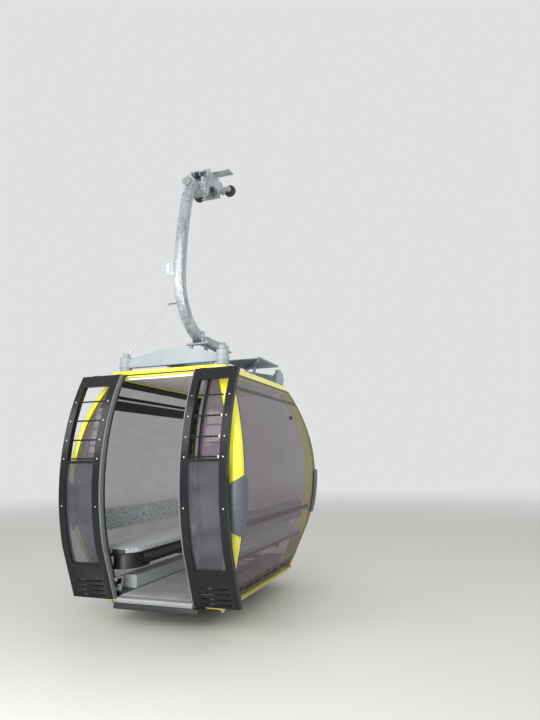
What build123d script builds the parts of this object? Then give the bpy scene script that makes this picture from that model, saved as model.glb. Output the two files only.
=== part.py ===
from build123d import *
from math import sqrt
import os

os.makedirs("parts", exist_ok=True)

# The origin is the rope's centre in the clamp. X runs along the rope, and the doors are on the -Y side.
# The cabin is drawn from its sill plane up, and is lowered at the end to hang under the rope.
rope_height = 4400

# Shell: half lengths (end) and half widths (side) at the sill, the knee, the widest point and the roof
shell_height = 2150
knee_height = 490
widest_height = 1100
end = dict(low=632, knee=808, wide=895, top=608)
side = dict(low=948, knee=1148, wide=1240, top=932)
corner_radius = 70
pillar_width = 100
wall_depth = 45
flange = 14
glass_thickness = 12
seat_gap = 0.3
bottom_rail_height = 70
roof_rail_height = 75
vent_strip_height = 55
transom_height = shell_height - 245
transom_size = 28

# Door side: the opening between the jambs, and the leaves that stand open outside it
opening_half = 400
jamb_width = 50
leaf_inner = 393
leaf_outer = end["wide"] - 57
leaf_stand_off = 98
leaf_thickness = 55
leaf_bottom = 30
leaf_top = shell_height - 65
stile_width = 68
header_height = 115
kick_band_height = 320
mid_rail_height = 1180
mid_rail_size = 70
leaf_glass_thickness = 8
bar_heights = (1820, 1635, 1455, 1285)
bar_size = 14
seal_width = 16
louvre_heights = (60, 105, 150, 195)
louvre_size = 16

# Corner bumpers
bumper_bottom = 590
bumper_top = 1180
bumper_proud = 22
bumper_width = 150

# Floor, threshold and underframe
floor_top = 52
rib_height = 5
rib_width = 8
rib_pitch = 25
floor_depth = 30
threshold_reach = 1100
threshold_thickness = 24
underframe_depth = 55

# Benches, the same at both ends
seat_front = 310
seat_back = end["wide"] - 160
seat_half_length = side["wide"] - 265
board_bottom = 375
board_thickness = 22
pad_thickness = 48
apron_height = 115
apron_thickness = 12
backrest_bottom = 570
backrest_top = 800
backrest_thickness = 32
backrest_half_length = side["wide"] - 340
backrest_rail_x = end["wide"] - 111
backrest_rail_thickness = 12
bench_leg_y = 700
bench_leg_thickness = 10
bench_leg_back = seat_back - 175
heater_box = dict(x0=400, x1=555, half_length=750, height=120)

# Roof gear
roof_crown = 22
frame_bottom = shell_height + 46
frame_end_top = shell_height + 132
frame_middle_top = shell_height + 204
frame_plateau_half = 150
damper_x = end["top"] - 63
damper_y = side["top"] - 102
damper_radius = 52
damper_top = shell_height + 140
damper_cap_radius = 36
damper_cap_top = shell_height + 200
web_thickness = 60
centre_beam_y = 280
post_x = 90
post_size = 32
saddle_length = 270
saddle_width = 64
saddle_thickness = 18
wing_inner = 130
wing_outer = end["top"] - 33
wing_near = 80
wing_far = 750
wing_height = shell_height + 230
wing_thickness = 8

# Hanger: a box beam of arcs, from the swing pin down and under to the middle of the roof
arm_size = 100
arm_corner = 14
leg_height = shell_height + 425
bend_radius = 575
arm_reach = 712
leg_end = 430
pin_y = -510
pin_drop = 100
pin_radius = 35
pin_clearance = 0.3
hub_radius = 75
hub_length = 140

# Grip
rope_radius = 24
jaw_length = 220
jaw_wall = 22
cheek_x = 118
cheek_thickness = 22
wheel_radius = 70
wheel_width = 44
wheel_x = 205
wheel_y = 120
wheel_z = 85
axle_radius = 14
running_gap = 0.3
roller_radius = 38
roller_width = 34
lever_end_y = -330
lever_end_z = 96
friction_plate_length = 620
friction_plate_width = 130
friction_plate_z = 178
friction_plate_thickness = 12


def half_size(table, z):
    """Half the shell's length or width at height z: a line up to the knee, then one arc."""
    if z <= knee_height:
        return table["low"] + (table["knee"] - table["low"]) * z / knee_height
    x1, z1, x2, z2, x3, z3 = (table["knee"], knee_height, table["wide"], widest_height,
                              table["top"], shell_height)
    a, b, c = x2 - x1, z2 - z1, x3 - x1
    d = z3 - z1
    e, f, g = (a * (x1 + x2) + b * (z1 + z2)) / 2, (c * (x1 + x3) + d * (z1 + z3)) / 2, a * d - b * c
    cx, cz = (d * e - b * f) / g, (a * f - c * e) / g
    return cx + sqrt((x1 - cx) ** 2 + (z1 - cz) ** 2 - (z - cz) ** 2)


def rise(table, inset, low, high):
    """The shell's curved edge from one height to another, moved in by inset."""
    def at(z):
        return half_size(table, z) - inset, z
    edges = []
    if low < knee_height:
        edges.append(Line(at(low), at(min(knee_height, high))))
    start = max(low, knee_height)
    if high > start:
        edges.append(ThreePointArc(at(start), at((start + high) / 2), at(high)))
    return edges


def slab(table, outer, inner, low, high):
    """A curved strip between two insets, on the positive side of its drawing plane."""
    out, back = rise(table, outer, low, high), rise(table, inner, low, high)
    return make_face([*out, *back, Line(out[0] @ 0, back[0] @ 0), Line(out[-1] @ 1, back[-1] @ 1)])


def outline(table, margin, low, high):
    """A window's outline, with both curved sides set in by margin."""
    right = rise(table, margin, low, high)
    left = [mirror(edge, about=Plane.YZ) for edge in right]
    return make_face([*right, *left, Line(left[0] @ 0, right[0] @ 0), Line(left[-1] @ 1, right[-1] @ 1)])


def along_y(face, start, stop):
    """A profile drawn in X and Z, run along Y."""
    return Pos(0, stop, 0) * extrude(Plane.XZ * face, stop - start)


def along_x(face, start, stop):
    """A profile drawn in Y and Z, run along X."""
    return Pos(start, 0, 0) * extrude(Plane.YZ * face, stop - start)


def block(x0, x1, y0, y1, z0, z1):
    return Pos((x0 + x1) / 2, (y0 + y1) / 2, (z0 + z1) / 2) * Box(x1 - x0, y1 - y0, z1 - z0)


def plate(z, inset, radius):
    """The shell's plan at height z, set in by inset."""
    return Pos(0, 0, z) * RectangleRounded(2 * (half_size(end, z) - inset), 2 * (half_size(side, z) - inset), radius)


def deck(low, high, inset, radius):
    """A level panel between two heights that follows the shell's sides."""
    return loft([plate(low, inset, radius), plate(high, inset, radius)], ruled=True)


def both_ends(shape):
    return shape + mirror(shape, about=Plane.YZ)


def ring(low, high, depth):
    """A rail that runs round the whole shell between two heights."""
    outer = loft([plate(low, 0, corner_radius), plate(high, 0, corner_radius)], ruled=True)
    inner = loft([plate(low, depth, corner_radius - depth), plate(high, depth, corner_radius - depth)], ruled=True)
    return outer - inner


def corner_relief(x, z):
    """How far a pillar's rounded inner corner stands in from the side wall, at x and z."""
    inner_radius = corner_radius - wall_depth
    past = max(0, x - (half_size(end, z) - corner_radius))
    return inner_radius - sqrt(inner_radius ** 2 - past ** 2)


def save(name, shape, drop=rope_height):
    """Write one piece, lowered by the height of the rope."""
    export_step(Pos(0, 0, -drop) * shape, f"parts/{name}.step")


# Rails round the sill and the roof, with the roof skin and the ceiling
across = 1300
glass_low = bottom_rail_height + vent_strip_height
glass_edge = pillar_width + seat_gap
rail_low = shell_height - roof_rail_height
door_gap = opening_half - 5
bottom_frame = ring(0, bottom_rail_height, wall_depth) - block(-door_gap, door_gap, -across, 0, -1, bottom_rail_height + 1)
roof_rail = ring(rail_low, shell_height, wall_depth)
save("bottom_frame", bottom_frame)
save("roof_rail", roof_rail)

roof_skin = loft([Pos(0, 0, seat_gap) * plate(shell_height, 6, corner_radius),
                  Pos(0, 0, roof_crown) * plate(shell_height, 120, corner_radius)], ruled=True)
damper_spots = [Pos(x, y, shell_height) for x in (-damper_x, damper_x) for y in (-damper_y, damper_y)]
roof_skin -= [spot * Cylinder(damper_radius + seat_gap, 4 * roof_crown) for spot in damper_spots]
save("roof_skin", roof_skin)
ceiling = deck(rail_low + 8, rail_low + 18, wall_depth + 3 * seat_gap, corner_radius - wall_depth)
save("ceiling_panel", ceiling)


# Corner pillars, with a flange behind each glass
def pillar_section(z):
    x, y = half_size(end, z), half_size(side, z)
    seat, back = glass_thickness + 2 * seat_gap, wall_depth
    r, inner_r = corner_radius, corner_radius - wall_depth
    w, f = pillar_width, pillar_width + flange
    out = [Line((x - w, y), (x - r, y)), RadiusArc((x - r, y), (x, y - r), r), Line((x, y - r), (x, y - w))]
    lip = Polyline((x, y - w), (x - seat, y - w), (x - seat, y - f), (x - back, y - f),
                   (x - back, y - back - inner_r))
    turn = RadiusArc((x - back, y - back - inner_r), (x - back - inner_r, y - back), -inner_r)
    other = Polyline((x - back - inner_r, y - back), (x - f, y - back), (x - f, y - seat), (x - w, y - seat), (x - w, y))
    return Pos(0, 0, z) * make_face([*out, lip, turn, other])


pillar_heights = (knee_height, 800, widest_height, 1450, 1760, rail_low)
pillar = loft([pillar_section(bottom_rail_height), pillar_section(knee_height)], ruled=True)
pillar += loft([pillar_section(z) for z in pillar_heights])
pillars = dict(rear_right_pillar=pillar,
               rear_left_pillar=mirror(pillar, about=Plane.YZ),
               front_right_pillar=mirror(pillar, about=Plane.XZ),
               front_left_pillar=mirror(mirror(pillar, about=Plane.YZ), about=Plane.XZ))
for name, shape in pillars.items():
    save(name, shape)

# Glass of the two ends and the rear, with a transom bar near the top of each end
end_cut = along_x(outline(side, glass_edge, glass_low, transom_height), 0, across)
end_window = along_y(slab(end, 0, glass_thickness, glass_low, transom_height), -across, across) & end_cut
upper_low = transom_height + transom_size
upper_cut = along_x(outline(side, glass_edge, upper_low, rail_low - seat_gap), 0, across)
upper_window = along_y(slab(end, 0, glass_thickness, upper_low, rail_low - seat_gap), -across, across) & upper_cut
transom_cut = along_x(outline(side, glass_edge, transom_height + seat_gap, upper_low - seat_gap), 0, across)
transom = along_y(slab(end, -3, glass_thickness, transom_height + seat_gap, upper_low - seat_gap),
                  -across, across) & transom_cut
save("right_end_window", end_window)
save("left_end_window", mirror(end_window, about=Plane.YZ))
save("upper_windows", both_ends(upper_window))
save("transoms", both_ends(transom))
rear_cut = along_y(outline(end, glass_edge, glass_low, rail_low - seat_gap), 0, across)
rear_window = along_x(slab(side, 0, glass_thickness, glass_low, rail_low - seat_gap), -across, across) & rear_cut
save("rear_window", rear_window)

# Vent strips under the glass, each with a row of slots
slot_length, slot_height, slot_pitch = 85, 20, 118
strip_low, strip_high = bottom_rail_height + seat_gap, glass_low - seat_gap
end_strip = along_y(slab(end, 0, glass_thickness, strip_low, strip_high), -across, across)
end_strip &= along_x(outline(side, glass_edge, strip_low, strip_high), 0, across)
slot_z = (strip_low + strip_high) / 2
end_slots = Pos(half_size(end, slot_z), 0, slot_z) * GridLocations(0, slot_pitch, 1, 13)
end_strip -= [spot * Box(60, slot_length, slot_height) for spot in end_slots]
rear_strip = along_x(slab(side, 0, glass_thickness, strip_low, strip_high), -across, across)
rear_strip &= along_y(outline(end, glass_edge, strip_low, strip_high), 0, across)
rear_slots = Pos(0, half_size(side, slot_z), slot_z) * GridLocations(slot_pitch, 0, 7, 1)
rear_strip -= [spot * Box(slot_length, 60, slot_height) for spot in rear_slots]
save("end_vent_strips", both_ends(end_strip))
save("rear_vent_strip", rear_strip)

# Door jambs and the narrow fixed panes beside them
jamb = along_x(slab(side, 0, wall_depth, bottom_rail_height + seat_gap, rail_low - seat_gap),
               opening_half, opening_half + jamb_width)
jamb = mirror(jamb, about=Plane.XZ)
save("door_jambs", both_ends(jamb))
pane_low = bottom_rail_height + seat_gap
pane_cut = along_y(outline(end, glass_edge, pane_low, rail_low - seat_gap), 0, across)
pane = along_x(slab(side, 0, glass_thickness, pane_low, rail_low - seat_gap),
               opening_half + jamb_width + seat_gap, across) & pane_cut
save("side_panes", both_ends(mirror(pane, about=Plane.XZ)))

# Door leaves: a curved frame with a solid kick band, a glass below and open bars above
leaf_skin = (-leaf_stand_off - leaf_thickness, -leaf_stand_off)
leaf_blank = along_x(slab(side, *leaf_skin, leaf_bottom, leaf_top), leaf_inner + seal_width, leaf_outer)
light_inner, light_outer = leaf_inner + seal_width + stile_width, leaf_outer - stile_width
header_low = leaf_top - header_height
mid_low = mid_rail_height - mid_rail_size
kick_high = leaf_bottom + kick_band_height
upper_light = block(light_inner, light_outer, 0, 2 * across, mid_rail_height, header_low)
lower_light = block(light_inner, light_outer, 0, 2 * across, kick_high, mid_low)
leaf_frame = leaf_blank - upper_light - lower_light
leaf_frame -= [block(light_inner, light_outer, half_size(side, z) + leaf_stand_off + leaf_thickness - 18, 2 * across,
                     z - louvre_size / 2, z + louvre_size / 2) for z in louvre_heights]
glass_face = (leaf_skin[0] + 20, leaf_skin[0] + 20 + leaf_glass_thickness)
leaf_glass = along_x(slab(side, *glass_face, kick_high + seat_gap, mid_low - seat_gap),
                     light_inner + seat_gap, light_outer - seat_gap)
leaf_seal = along_x(slab(side, leaf_skin[0] + 8, leaf_skin[1] - 6, leaf_bottom, leaf_top),
                    leaf_inner, leaf_inner + seal_width)
bars = [block(light_inner, light_outer, half_size(side, z) + leaf_stand_off + leaf_thickness - 2 * bar_size,
              half_size(side, z) + leaf_stand_off + leaf_thickness - bar_size, z - bar_size / 2, z + bar_size / 2)
        for z in bar_heights]
for hand, turn in (("right", None), ("left", Plane.YZ)):
    for label, shape in (("door_frame", leaf_frame), ("door_glass", leaf_glass), ("door_seal", leaf_seal),
                         ("door_bars", Compound(bars))):
        shape = mirror(shape, about=Plane.XZ)
        save(f"{hand}_{label}", mirror(shape, about=turn) if turn else shape)

# Arms that carry the leaves: a bracket from the roof rail at the top and a swan neck at the foot
arm_low = leaf_top + seat_gap
hanger_face = half_size(side, leaf_top)
arms = [block(leaf_inner + seal_width, leaf_outer, -hanger_face - leaf_stand_off - leaf_thickness + 6,
              -hanger_face - seat_gap, arm_low, arm_low + 22)]
foot_y0 = half_size(side, bottom_rail_height) + seat_gap
foot_y1 = half_size(side, leaf_bottom) + leaf_stand_off - seat_gap
arms.append(block(leaf_inner + 60, leaf_inner + 120, -foot_y1, -foot_y0, leaf_bottom, leaf_bottom + 24))
save("door_arms", both_ends(Compound(arms)))

# Gutter over the door side
gutter_reach = 36
gutter = block(-half_size(end, shell_height) + corner_radius, half_size(end, shell_height) - corner_radius,
               -half_size(side, shell_height) - gutter_reach, -half_size(side, shell_height) + 6 - seat_gap,
               shell_height + seat_gap, shell_height + 8)
gutter += block(-half_size(end, shell_height) + corner_radius, half_size(end, shell_height) - corner_radius,
                -half_size(side, shell_height) - gutter_reach, -half_size(side, shell_height) - gutter_reach + 8,
                shell_height - 16, shell_height + 8)
save("roof_gutter", gutter)

# Corner bumpers over the middle of each pillar
def bumper_section(z, proud):
    x, y = half_size(end, z), half_size(side, z)
    r, w = corner_radius + proud, bumper_width
    back = -2 * seat_gap
    ax, ay = x + proud, y + proud
    out = [Line((x - w, y - back), (x - w, ay - 8)), Line((x - w, ay - 8), (x - w + 8, ay)),
           Line((x - w + 8, ay), (ax - r, ay)), RadiusArc((ax - r, ay), (ax, ay - r), r),
           Line((ax, ay - r), (ax, y - w + 8)), Line((ax, y - w + 8), (ax - 8, y - w)),
           Line((ax - 8, y - w), (x - back, y - w))]
    r0 = corner_radius - back
    turn = [Line((x - back, y - w), (x - back, y - back - r0)),
            RadiusArc((x - back, y - back - r0), (x - back - r0, y - back), -r0),
            Line((x - back - r0, y - back), (x - w, y - back))]
    return Pos(0, 0, z) * make_face([*out, *turn])


bumper_heights = (bumper_bottom, 790, 985, bumper_top)
bumper = loft([bumper_section(z, bumper_proud) for z in bumper_heights])
bumpers = bumper + mirror(bumper, about=Plane.XZ)
save("corner_bumpers", both_ends(bumpers))

# Floor of ribbed plate, the threshold under the doors and the tray beneath
floor_inset = wall_depth + seat_gap
floor = deck(floor_top - floor_depth, floor_top - rib_height, floor_inset, corner_radius - wall_depth)
floor += block(-door_gap + seat_gap, door_gap - seat_gap, -half_size(side, 0), 0,
               floor_top - floor_depth, floor_top - rib_height)
rib_half = half_size(side, 0) - floor_inset - 40
ribs = [Pos(x * rib_pitch, 0, floor_top - rib_height / 2) * Box(rib_width, 2 * rib_half, rib_height)
        for x in range(-15, 16)]
save("floor", floor + ribs)
threshold_top = floor_top - floor_depth - seat_gap
threshold_back = half_size(side, 0) - 80
threshold = extrude(Pos(0, -(threshold_reach + threshold_back) / 2, threshold_top - threshold_thickness) *
                    RectangleRounded(2 * door_gap - 10, threshold_reach - threshold_back, 24), threshold_thickness)
threshold = fillet(threshold.faces().sort_by(Axis.Z)[-1].edges().filter_by(Axis.X).sort_by(Axis.Y)[0], 10)
save("threshold", threshold)
tray_top = threshold_top - threshold_thickness - seat_gap
tray = Pos(0, 0, tray_top) * extrude(plate(0, 90, 20), -underframe_depth)
tray += block(-door_gap + 25, door_gap - 25, -threshold_reach + 40, 0, tray_top - underframe_depth, tray_top)
save("underframe", tray)

# Benches: board, apron, legs and heater box, then the soft seat and the backrest on its rail
board = block(seat_front, seat_back, -seat_half_length, seat_half_length, board_bottom, board_bottom + board_thickness)
apron = block(seat_front, seat_front + apron_thickness, -seat_half_length, seat_half_length,
              board_bottom - apron_height + board_thickness, board_bottom - seat_gap)
legs = [block(seat_front + apron_thickness + seat_gap, bench_leg_back, y - bench_leg_thickness / 2,
              y + bench_leg_thickness / 2, floor_top, board_bottom - seat_gap) for y in (-bench_leg_y, 0, bench_leg_y)]
box = block(heater_box["x0"], heater_box["x1"], -heater_box["half_length"], heater_box["half_length"],
            floor_top + seat_gap, floor_top + heater_box["height"])
bench = Compound([board, apron] + [(leg - box).solid() for leg in legs])
pad = block(seat_front, seat_back, -seat_half_length, seat_half_length,
            board_bottom + board_thickness + seat_gap, board_bottom + board_thickness + pad_thickness)
rest_rail_z = (backrest_bottom + backrest_top) / 2
rest_rail_low = rest_rail_z - 25
rest_rail_half = (half_size(side, rest_rail_low) - wall_depth - 3 * seat_gap
                  - corner_relief(backrest_rail_x + backrest_rail_thickness, rest_rail_low))
rest_rail = block(backrest_rail_x, backrest_rail_x + backrest_rail_thickness, -rest_rail_half, rest_rail_half,
                  rest_rail_low, rest_rail_z + 25)
rest = block(backrest_rail_x - backrest_thickness - seat_gap, backrest_rail_x - seat_gap,
             -backrest_half_length, backrest_half_length, backrest_bottom, backrest_top)
for hand, turn in (("right", None), ("left", Plane.YZ)):
    for label, shape in (("bench_frame", bench), ("heater_box", box), ("seat_pad", pad),
                         ("backrest_rail", rest_rail), ("backrest", rest)):
        save(f"{hand}_{label}", mirror(shape, about=turn) if turn else shape)

# Handrails along both end walls
rails = []
for z, size in ((1815, 30), (1640, 24)):
    x = half_size(end, z) - wall_depth - size
    reach = half_size(side, z + size / 2) - wall_depth - 3 * seat_gap - corner_relief(x + size / 2, z + size / 2)
    rails.append(block(x - size / 2, x + size / 2, -reach, reach, z - size / 2, z + size / 2))
save("handrails", both_ends(Compound(rails)))

# Suspension frame on four dampers
def beam_web():
    x = damper_x - damper_radius - seat_gap
    top = Polyline((-x, frame_bottom), (x, frame_bottom), (x, frame_end_top), (frame_plateau_half, frame_middle_top),
                   (-frame_plateau_half, frame_middle_top), (-x, frame_end_top), (-x, frame_bottom))
    return make_face(top)


web = along_y(beam_web(), damper_y - web_thickness / 2, damper_y + web_thickness / 2)
end_beam = block(damper_x - 40, damper_x + 40, -damper_y + damper_radius, damper_y - damper_radius,
                 frame_bottom, frame_end_top)
centre = block(-damper_x, damper_x, centre_beam_y - 35, centre_beam_y + 35, frame_bottom, frame_end_top + 30)
post = block(post_x - post_size / 2, post_x + post_size / 2, centre_beam_y - post_size / 2,
             centre_beam_y + post_size / 2, frame_end_top + 30, leg_height - arm_size / 2 - saddle_thickness)
saddle = block(-saddle_length / 2, saddle_length / 2, centre_beam_y - saddle_width / 2,
               centre_beam_y + saddle_width / 2, leg_height - arm_size / 2 - saddle_thickness,
               leg_height - arm_size / 2)
half_frame = web + centre + both_ends(post) + saddle
frame = half_frame + mirror(half_frame, about=Plane.XZ) + both_ends(end_beam)
collar = Pos(damper_x, damper_y, frame_bottom) * extrude(Circle(damper_radius + 14) - Circle(damper_radius + seat_gap), 50)
frame += both_ends(collar + mirror(collar, about=Plane.XZ))
save("suspension_frame", frame)
damper = Pos(damper_x, damper_y, shell_height + seat_gap) * (
    extrude(Circle(damper_radius), damper_top - shell_height) +
    extrude(Circle(damper_cap_radius), damper_cap_top - shell_height))
dampers = damper + mirror(damper, about=Plane.XZ)
save("roof_dampers", both_ends(dampers))
wing_post_y = (380, 650)
wing = block(wing_inner, wing_outer, wing_near, wing_far, wing_height - wing_thickness, wing_height)
for y in wing_post_y:
    wing += block(damper_x - 12, damper_x + 12, y - 12, y + 12, frame_end_top + seat_gap, wing_height - wing_thickness)
save("guide_wings", both_ends(wing))

# Hanger arm, swept along arcs
pin_z = rope_height - pin_drop
top_radius = ((pin_z - leg_height - bend_radius) ** 2 + (arm_reach + pin_y) ** 2) / (2 * (arm_reach + pin_y))
bend_top = leg_height + bend_radius
with_lean = (pin_z + bend_top) / 2
lean_y = -arm_reach + top_radius - sqrt(top_radius ** 2 - (with_lean - bend_top) ** 2)
upper_arc = ThreePointArc((pin_y, pin_z), (lean_y, with_lean), (-arm_reach, bend_top))
lower_arc = RadiusArc((-arm_reach, bend_top), (-arm_reach + bend_radius, leg_height), -bend_radius)
leg_line = Line((-arm_reach + bend_radius, leg_height), (leg_end, leg_height))
path = Plane.YZ * Wire([upper_arc.edge(), lower_arc.edge(), leg_line.edge()])
start = Plane(origin=path @ 0, x_dir=(1, 0, 0), z_dir=path % 0)
arm = sweep(start * RectangleRounded(arm_size, arm_size, arm_corner), path)
hub_cut = Pos(0, pin_y, pin_z) * Rot(90, 0, 0) * Cylinder(pin_radius + pin_clearance, 4 * hub_length)
hub = Pos(0, pin_y, pin_z) * Rot(90, 0, 0) * Cylinder(hub_radius, hub_length)
save("hanger_arm", arm + hub - hub_cut)

# Grip, drawn in the rope's own frame. The cheeks are cut from plate, with a bearing block between them
cheek_profile = make_face(Polyline((150, 60), (150, 112), (60, 190), (-285, 190), (-325, 62), (-438, 10), (-438, -160),
                                   (-300, -160), (-250, -20), (-150, 34), (60, 34), (110, 60), (150, 60)))
cheek = along_x(cheek_profile, cheek_x - cheek_thickness, cheek_x)
bearing_near, bearing_far = -300, -432
bearing = block(-cheek_x + 1, cheek_x - 1, bearing_far, bearing_near, -160, -40)
pin_axis = Pos(0, pin_y, -pin_drop) * Rot(90, 0, 0)
bearing -= pin_axis * Cylinder(pin_radius + seat_gap, 900)
spring_seat = block(-cheek_x + 1, cheek_x - 1, -285, -200, 168, 190)
axle_block = block(cheek_x - 1, wheel_x + 26, 50, 92, wheel_z - 26, wheel_z + 26)
wheel_axle = Pos(wheel_x, 0, wheel_z) * Rot(90, 0, 0) * Pos(0, 0, -122) * Cylinder(axle_radius, 64)
wheel_cap = Pos(wheel_x, 0, wheel_z) * Rot(90, 0, 0) * Pos(0, 0, -152) * Cylinder(axle_radius + 8, 6)
jaw_inner, jaw_outer = rope_radius, rope_radius + jaw_wall
jaw_ring = Circle(jaw_outer) - Circle(jaw_inner)
fixed_profile = (jaw_ring & Pos(45, 10) * Rectangle(106, 90)) + (
    Pos(26, 92) * Rectangle(68, 120) - Circle(jaw_inner))
fixed_jaw = along_x(fixed_profile, -jaw_length / 2, jaw_length / 2)
fixed_jaw &= block(-cheek_x + 1, cheek_x - 1, -across, across, -across, across)
grip_frame = both_ends(cheek) + bearing + spring_seat + both_ends(axle_block + wheel_axle + wheel_cap) + fixed_jaw
save("grip_frame", grip_frame, 0)

# Moving jaw with its lever, the pin it turns on, and the spring stacks that shut it
jaw_pin_y, jaw_pin_z = -78, 62
lever_half = 42
moving_profile = (jaw_ring & Pos(-62, 4) * Rectangle(100, 88)) + (
    make_face(Polyline((-14, 30), (-14, 84), (-100, 92), (lever_end_y, 112), (lever_end_y, 78), (-120, 34),
                       (-100, -20), (-46, -20), (-40, 30), (-14, 30))) - Circle(jaw_inner))
moving_profile -= Pos(jaw_pin_y, jaw_pin_z) * Circle(13 + seat_gap)
moving_jaw = along_x(moving_profile, -lever_half, lever_half)
fork = make_face(Polyline((lever_end_y + 2, 78), (lever_end_y + 2, 112), (lever_end_y - 34, 116), (lever_end_y - 34, 78),
                          (lever_end_y + 2, 78)))
roller_y, roller_z = lever_end_y - 18, lever_end_z
for x in (-lever_half, lever_half - 12):
    moving_jaw += along_x(fork, x, x + 12)
moving_jaw -= block(-lever_half + 12, lever_half - 12, -across, lever_end_y + 30, -across, across)
roller_axle = Pos(0, roller_y, roller_z) * Rot(0, 90, 0) * Cylinder(8, 2 * lever_half + 8)
save("moving_jaw", moving_jaw + roller_axle, 0)
jaw_pin = Pos(0, jaw_pin_y, jaw_pin_z) * Rot(0, 90, 0) * Cylinder(13, 2 * (cheek_x - cheek_thickness))
save("jaw_pin", jaw_pin, 0)

stack_y, stack_low, stack_high = -245, 112, 168 - seat_gap
disc_outer, disc_inner, disc_rise, disc_count = 26, 12, 4, 7
pitch = (stack_high - stack_low) / disc_count
stack = []
for number in range(disc_count):
    z = stack_low + number * pitch
    up = disc_rise if number % 2 else 0
    down = disc_rise - up
    disc = make_face(Polyline((disc_inner, z + up), (disc_outer, z + down), (disc_outer, z + down + pitch - disc_rise),
                              (disc_inner, z + up + pitch - disc_rise), (disc_inner, z + up)))
    stack.append(revolve(Plane.XZ * disc, Axis.Z))
stack_column = stack[0].fuse(*stack[1:])
stacks = Pos(-55, stack_y, 0) * stack_column + Pos(55, stack_y, 0) * stack_column
save("spring_stacks", stacks, 0)

# Swing pin with its end cap, which keeps the hanger's hub on
hub_far = pin_y - hub_length / 2
pin_start, pin_stop = bearing_near + 12, hub_far - 18
pin = Pos(0, (pin_start + pin_stop) / 2, -pin_drop) * Rot(90, 0, 0) * Cylinder(pin_radius, pin_start - pin_stop)
pin += Pos(0, hub_far - 12, -pin_drop) * Rot(90, 0, 0) * Cylinder(hub_radius - 27, 12)
pin += Pos(0, bearing_near + 6, -pin_drop) * Rot(90, 0, 0) * Cylinder(hub_radius - 25, 12 - 2 * seat_gap)
save("swing_pin", pin, 0)

# Plate that the station's tyres drive, on ribs over the cheeks
drive_plate = block(-friction_plate_length / 2, friction_plate_length / 2, -friction_plate_width - 20, -20,
                    friction_plate_z + 30, friction_plate_z + 30 + friction_plate_thickness)
drive_plate += [block(x - 8, x + 8, -friction_plate_width - 10, -30, 190 + seat_gap, friction_plate_z + 30)
                for x in (-cheek_x + 10, cheek_x - 10)]
save("friction_plate", drive_plate, 0)

# Wheels that turn
def wheel(radius, width, bore):
    half = width / 2
    rim = make_face(Polyline((bore, -half), (radius - 6, -half), (radius, -half + 6), (radius, half - 6),
                             (radius - 6, half), (radius - 16, half), (radius - 20, half - 10), (bore + 16, half - 10),
                             (bore + 12, half), (bore, half), (bore, -half)))
    return revolve(Plane.XZ * rim, Axis.Z)


running = Rot(90, 0, 0) * wheel(wheel_radius, wheel_width, axle_radius + running_gap)
save("front_running_wheel", Pos(wheel_x, wheel_y, wheel_z) * running, 0)
save("rear_running_wheel", Pos(-wheel_x, wheel_y, wheel_z) * running, 0)
roller = Rot(0, 90, 0) * wheel(roller_radius, roller_width, 8 + running_gap)
save("coupling_roller", Pos(0, roller_y, roller_z) * roller, 0)
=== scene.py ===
import math

import bmesh
import bpy
from mathutils import Matrix, Vector


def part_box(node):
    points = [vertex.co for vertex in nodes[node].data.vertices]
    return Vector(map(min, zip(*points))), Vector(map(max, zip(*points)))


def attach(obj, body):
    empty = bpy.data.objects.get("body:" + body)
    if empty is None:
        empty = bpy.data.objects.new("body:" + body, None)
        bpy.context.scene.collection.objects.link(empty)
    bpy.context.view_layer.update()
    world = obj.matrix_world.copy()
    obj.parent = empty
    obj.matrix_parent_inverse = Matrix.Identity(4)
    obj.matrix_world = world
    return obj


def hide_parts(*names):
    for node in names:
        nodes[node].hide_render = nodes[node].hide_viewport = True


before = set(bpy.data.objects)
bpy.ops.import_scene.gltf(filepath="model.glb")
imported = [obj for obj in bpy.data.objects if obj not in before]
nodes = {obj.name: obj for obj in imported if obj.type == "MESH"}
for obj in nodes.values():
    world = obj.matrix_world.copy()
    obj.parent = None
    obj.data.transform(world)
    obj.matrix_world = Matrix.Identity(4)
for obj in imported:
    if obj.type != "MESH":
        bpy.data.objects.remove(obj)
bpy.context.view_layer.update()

scene = bpy.context.scene


# Camera: the photo's viewpoint, in front of the doors and to the right of them, looking up.
# The origin is the middle of the grip's closed jaws, and the cabin's sill hangs 4.4 m below it.
def linked(name, data):
    """A new object of the scene around its data."""
    made = bpy.data.objects.new(name, data)
    scene.collection.objects.link(made)
    return made


sill = -4.4
eye = Vector((2.7137, -5.5379, sill + 1.2632))
heading, pitch, roll = math.radians(19.663), 0.179086, -0.01481
focal_px, image_height_px, sensor_mm = 543.9, 720, 36.0
level = Vector((-math.sin(heading), math.cos(heading), 0))
ahead = level * math.cos(pitch) + Vector((0, 0, math.sin(pitch)))
right = ahead.cross(Vector((0, 0, 1))).normalized()
up = right.cross(ahead)
right, up = right * math.cos(roll) + up * math.sin(roll), up * math.cos(roll) - right * math.sin(roll)
lens = bpy.data.cameras.new("viewpoint")
lens.sensor_width = sensor_mm
lens.lens = focal_px / image_height_px * sensor_mm
camera = linked("viewpoint", lens)
camera.matrix_world = Matrix.Translation(eye) @ Matrix((right, up, -ahead)).transposed().to_4x4()
scene.camera = camera
scene.view_settings.view_transform = "Standard"


# Studio: a pale floor that fades into a pale surround.
# Five broad soft lamps light the cabin, two of them low in front of its doors.
def step(tree, kind, inputs=(), **settings):
    """One shader node with its settings, and its inputs given as values or as sockets to link."""
    node = tree.nodes.new(f"ShaderNode{kind}")
    for key, value in settings.items():
        setattr(node, key, value)
    for key, value in dict(inputs).items():
        if isinstance(value, bpy.types.NodeSocket):
            tree.links.new(value, node.inputs[key])
        else:
            node.inputs[key].default_value = value
    return node


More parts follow.
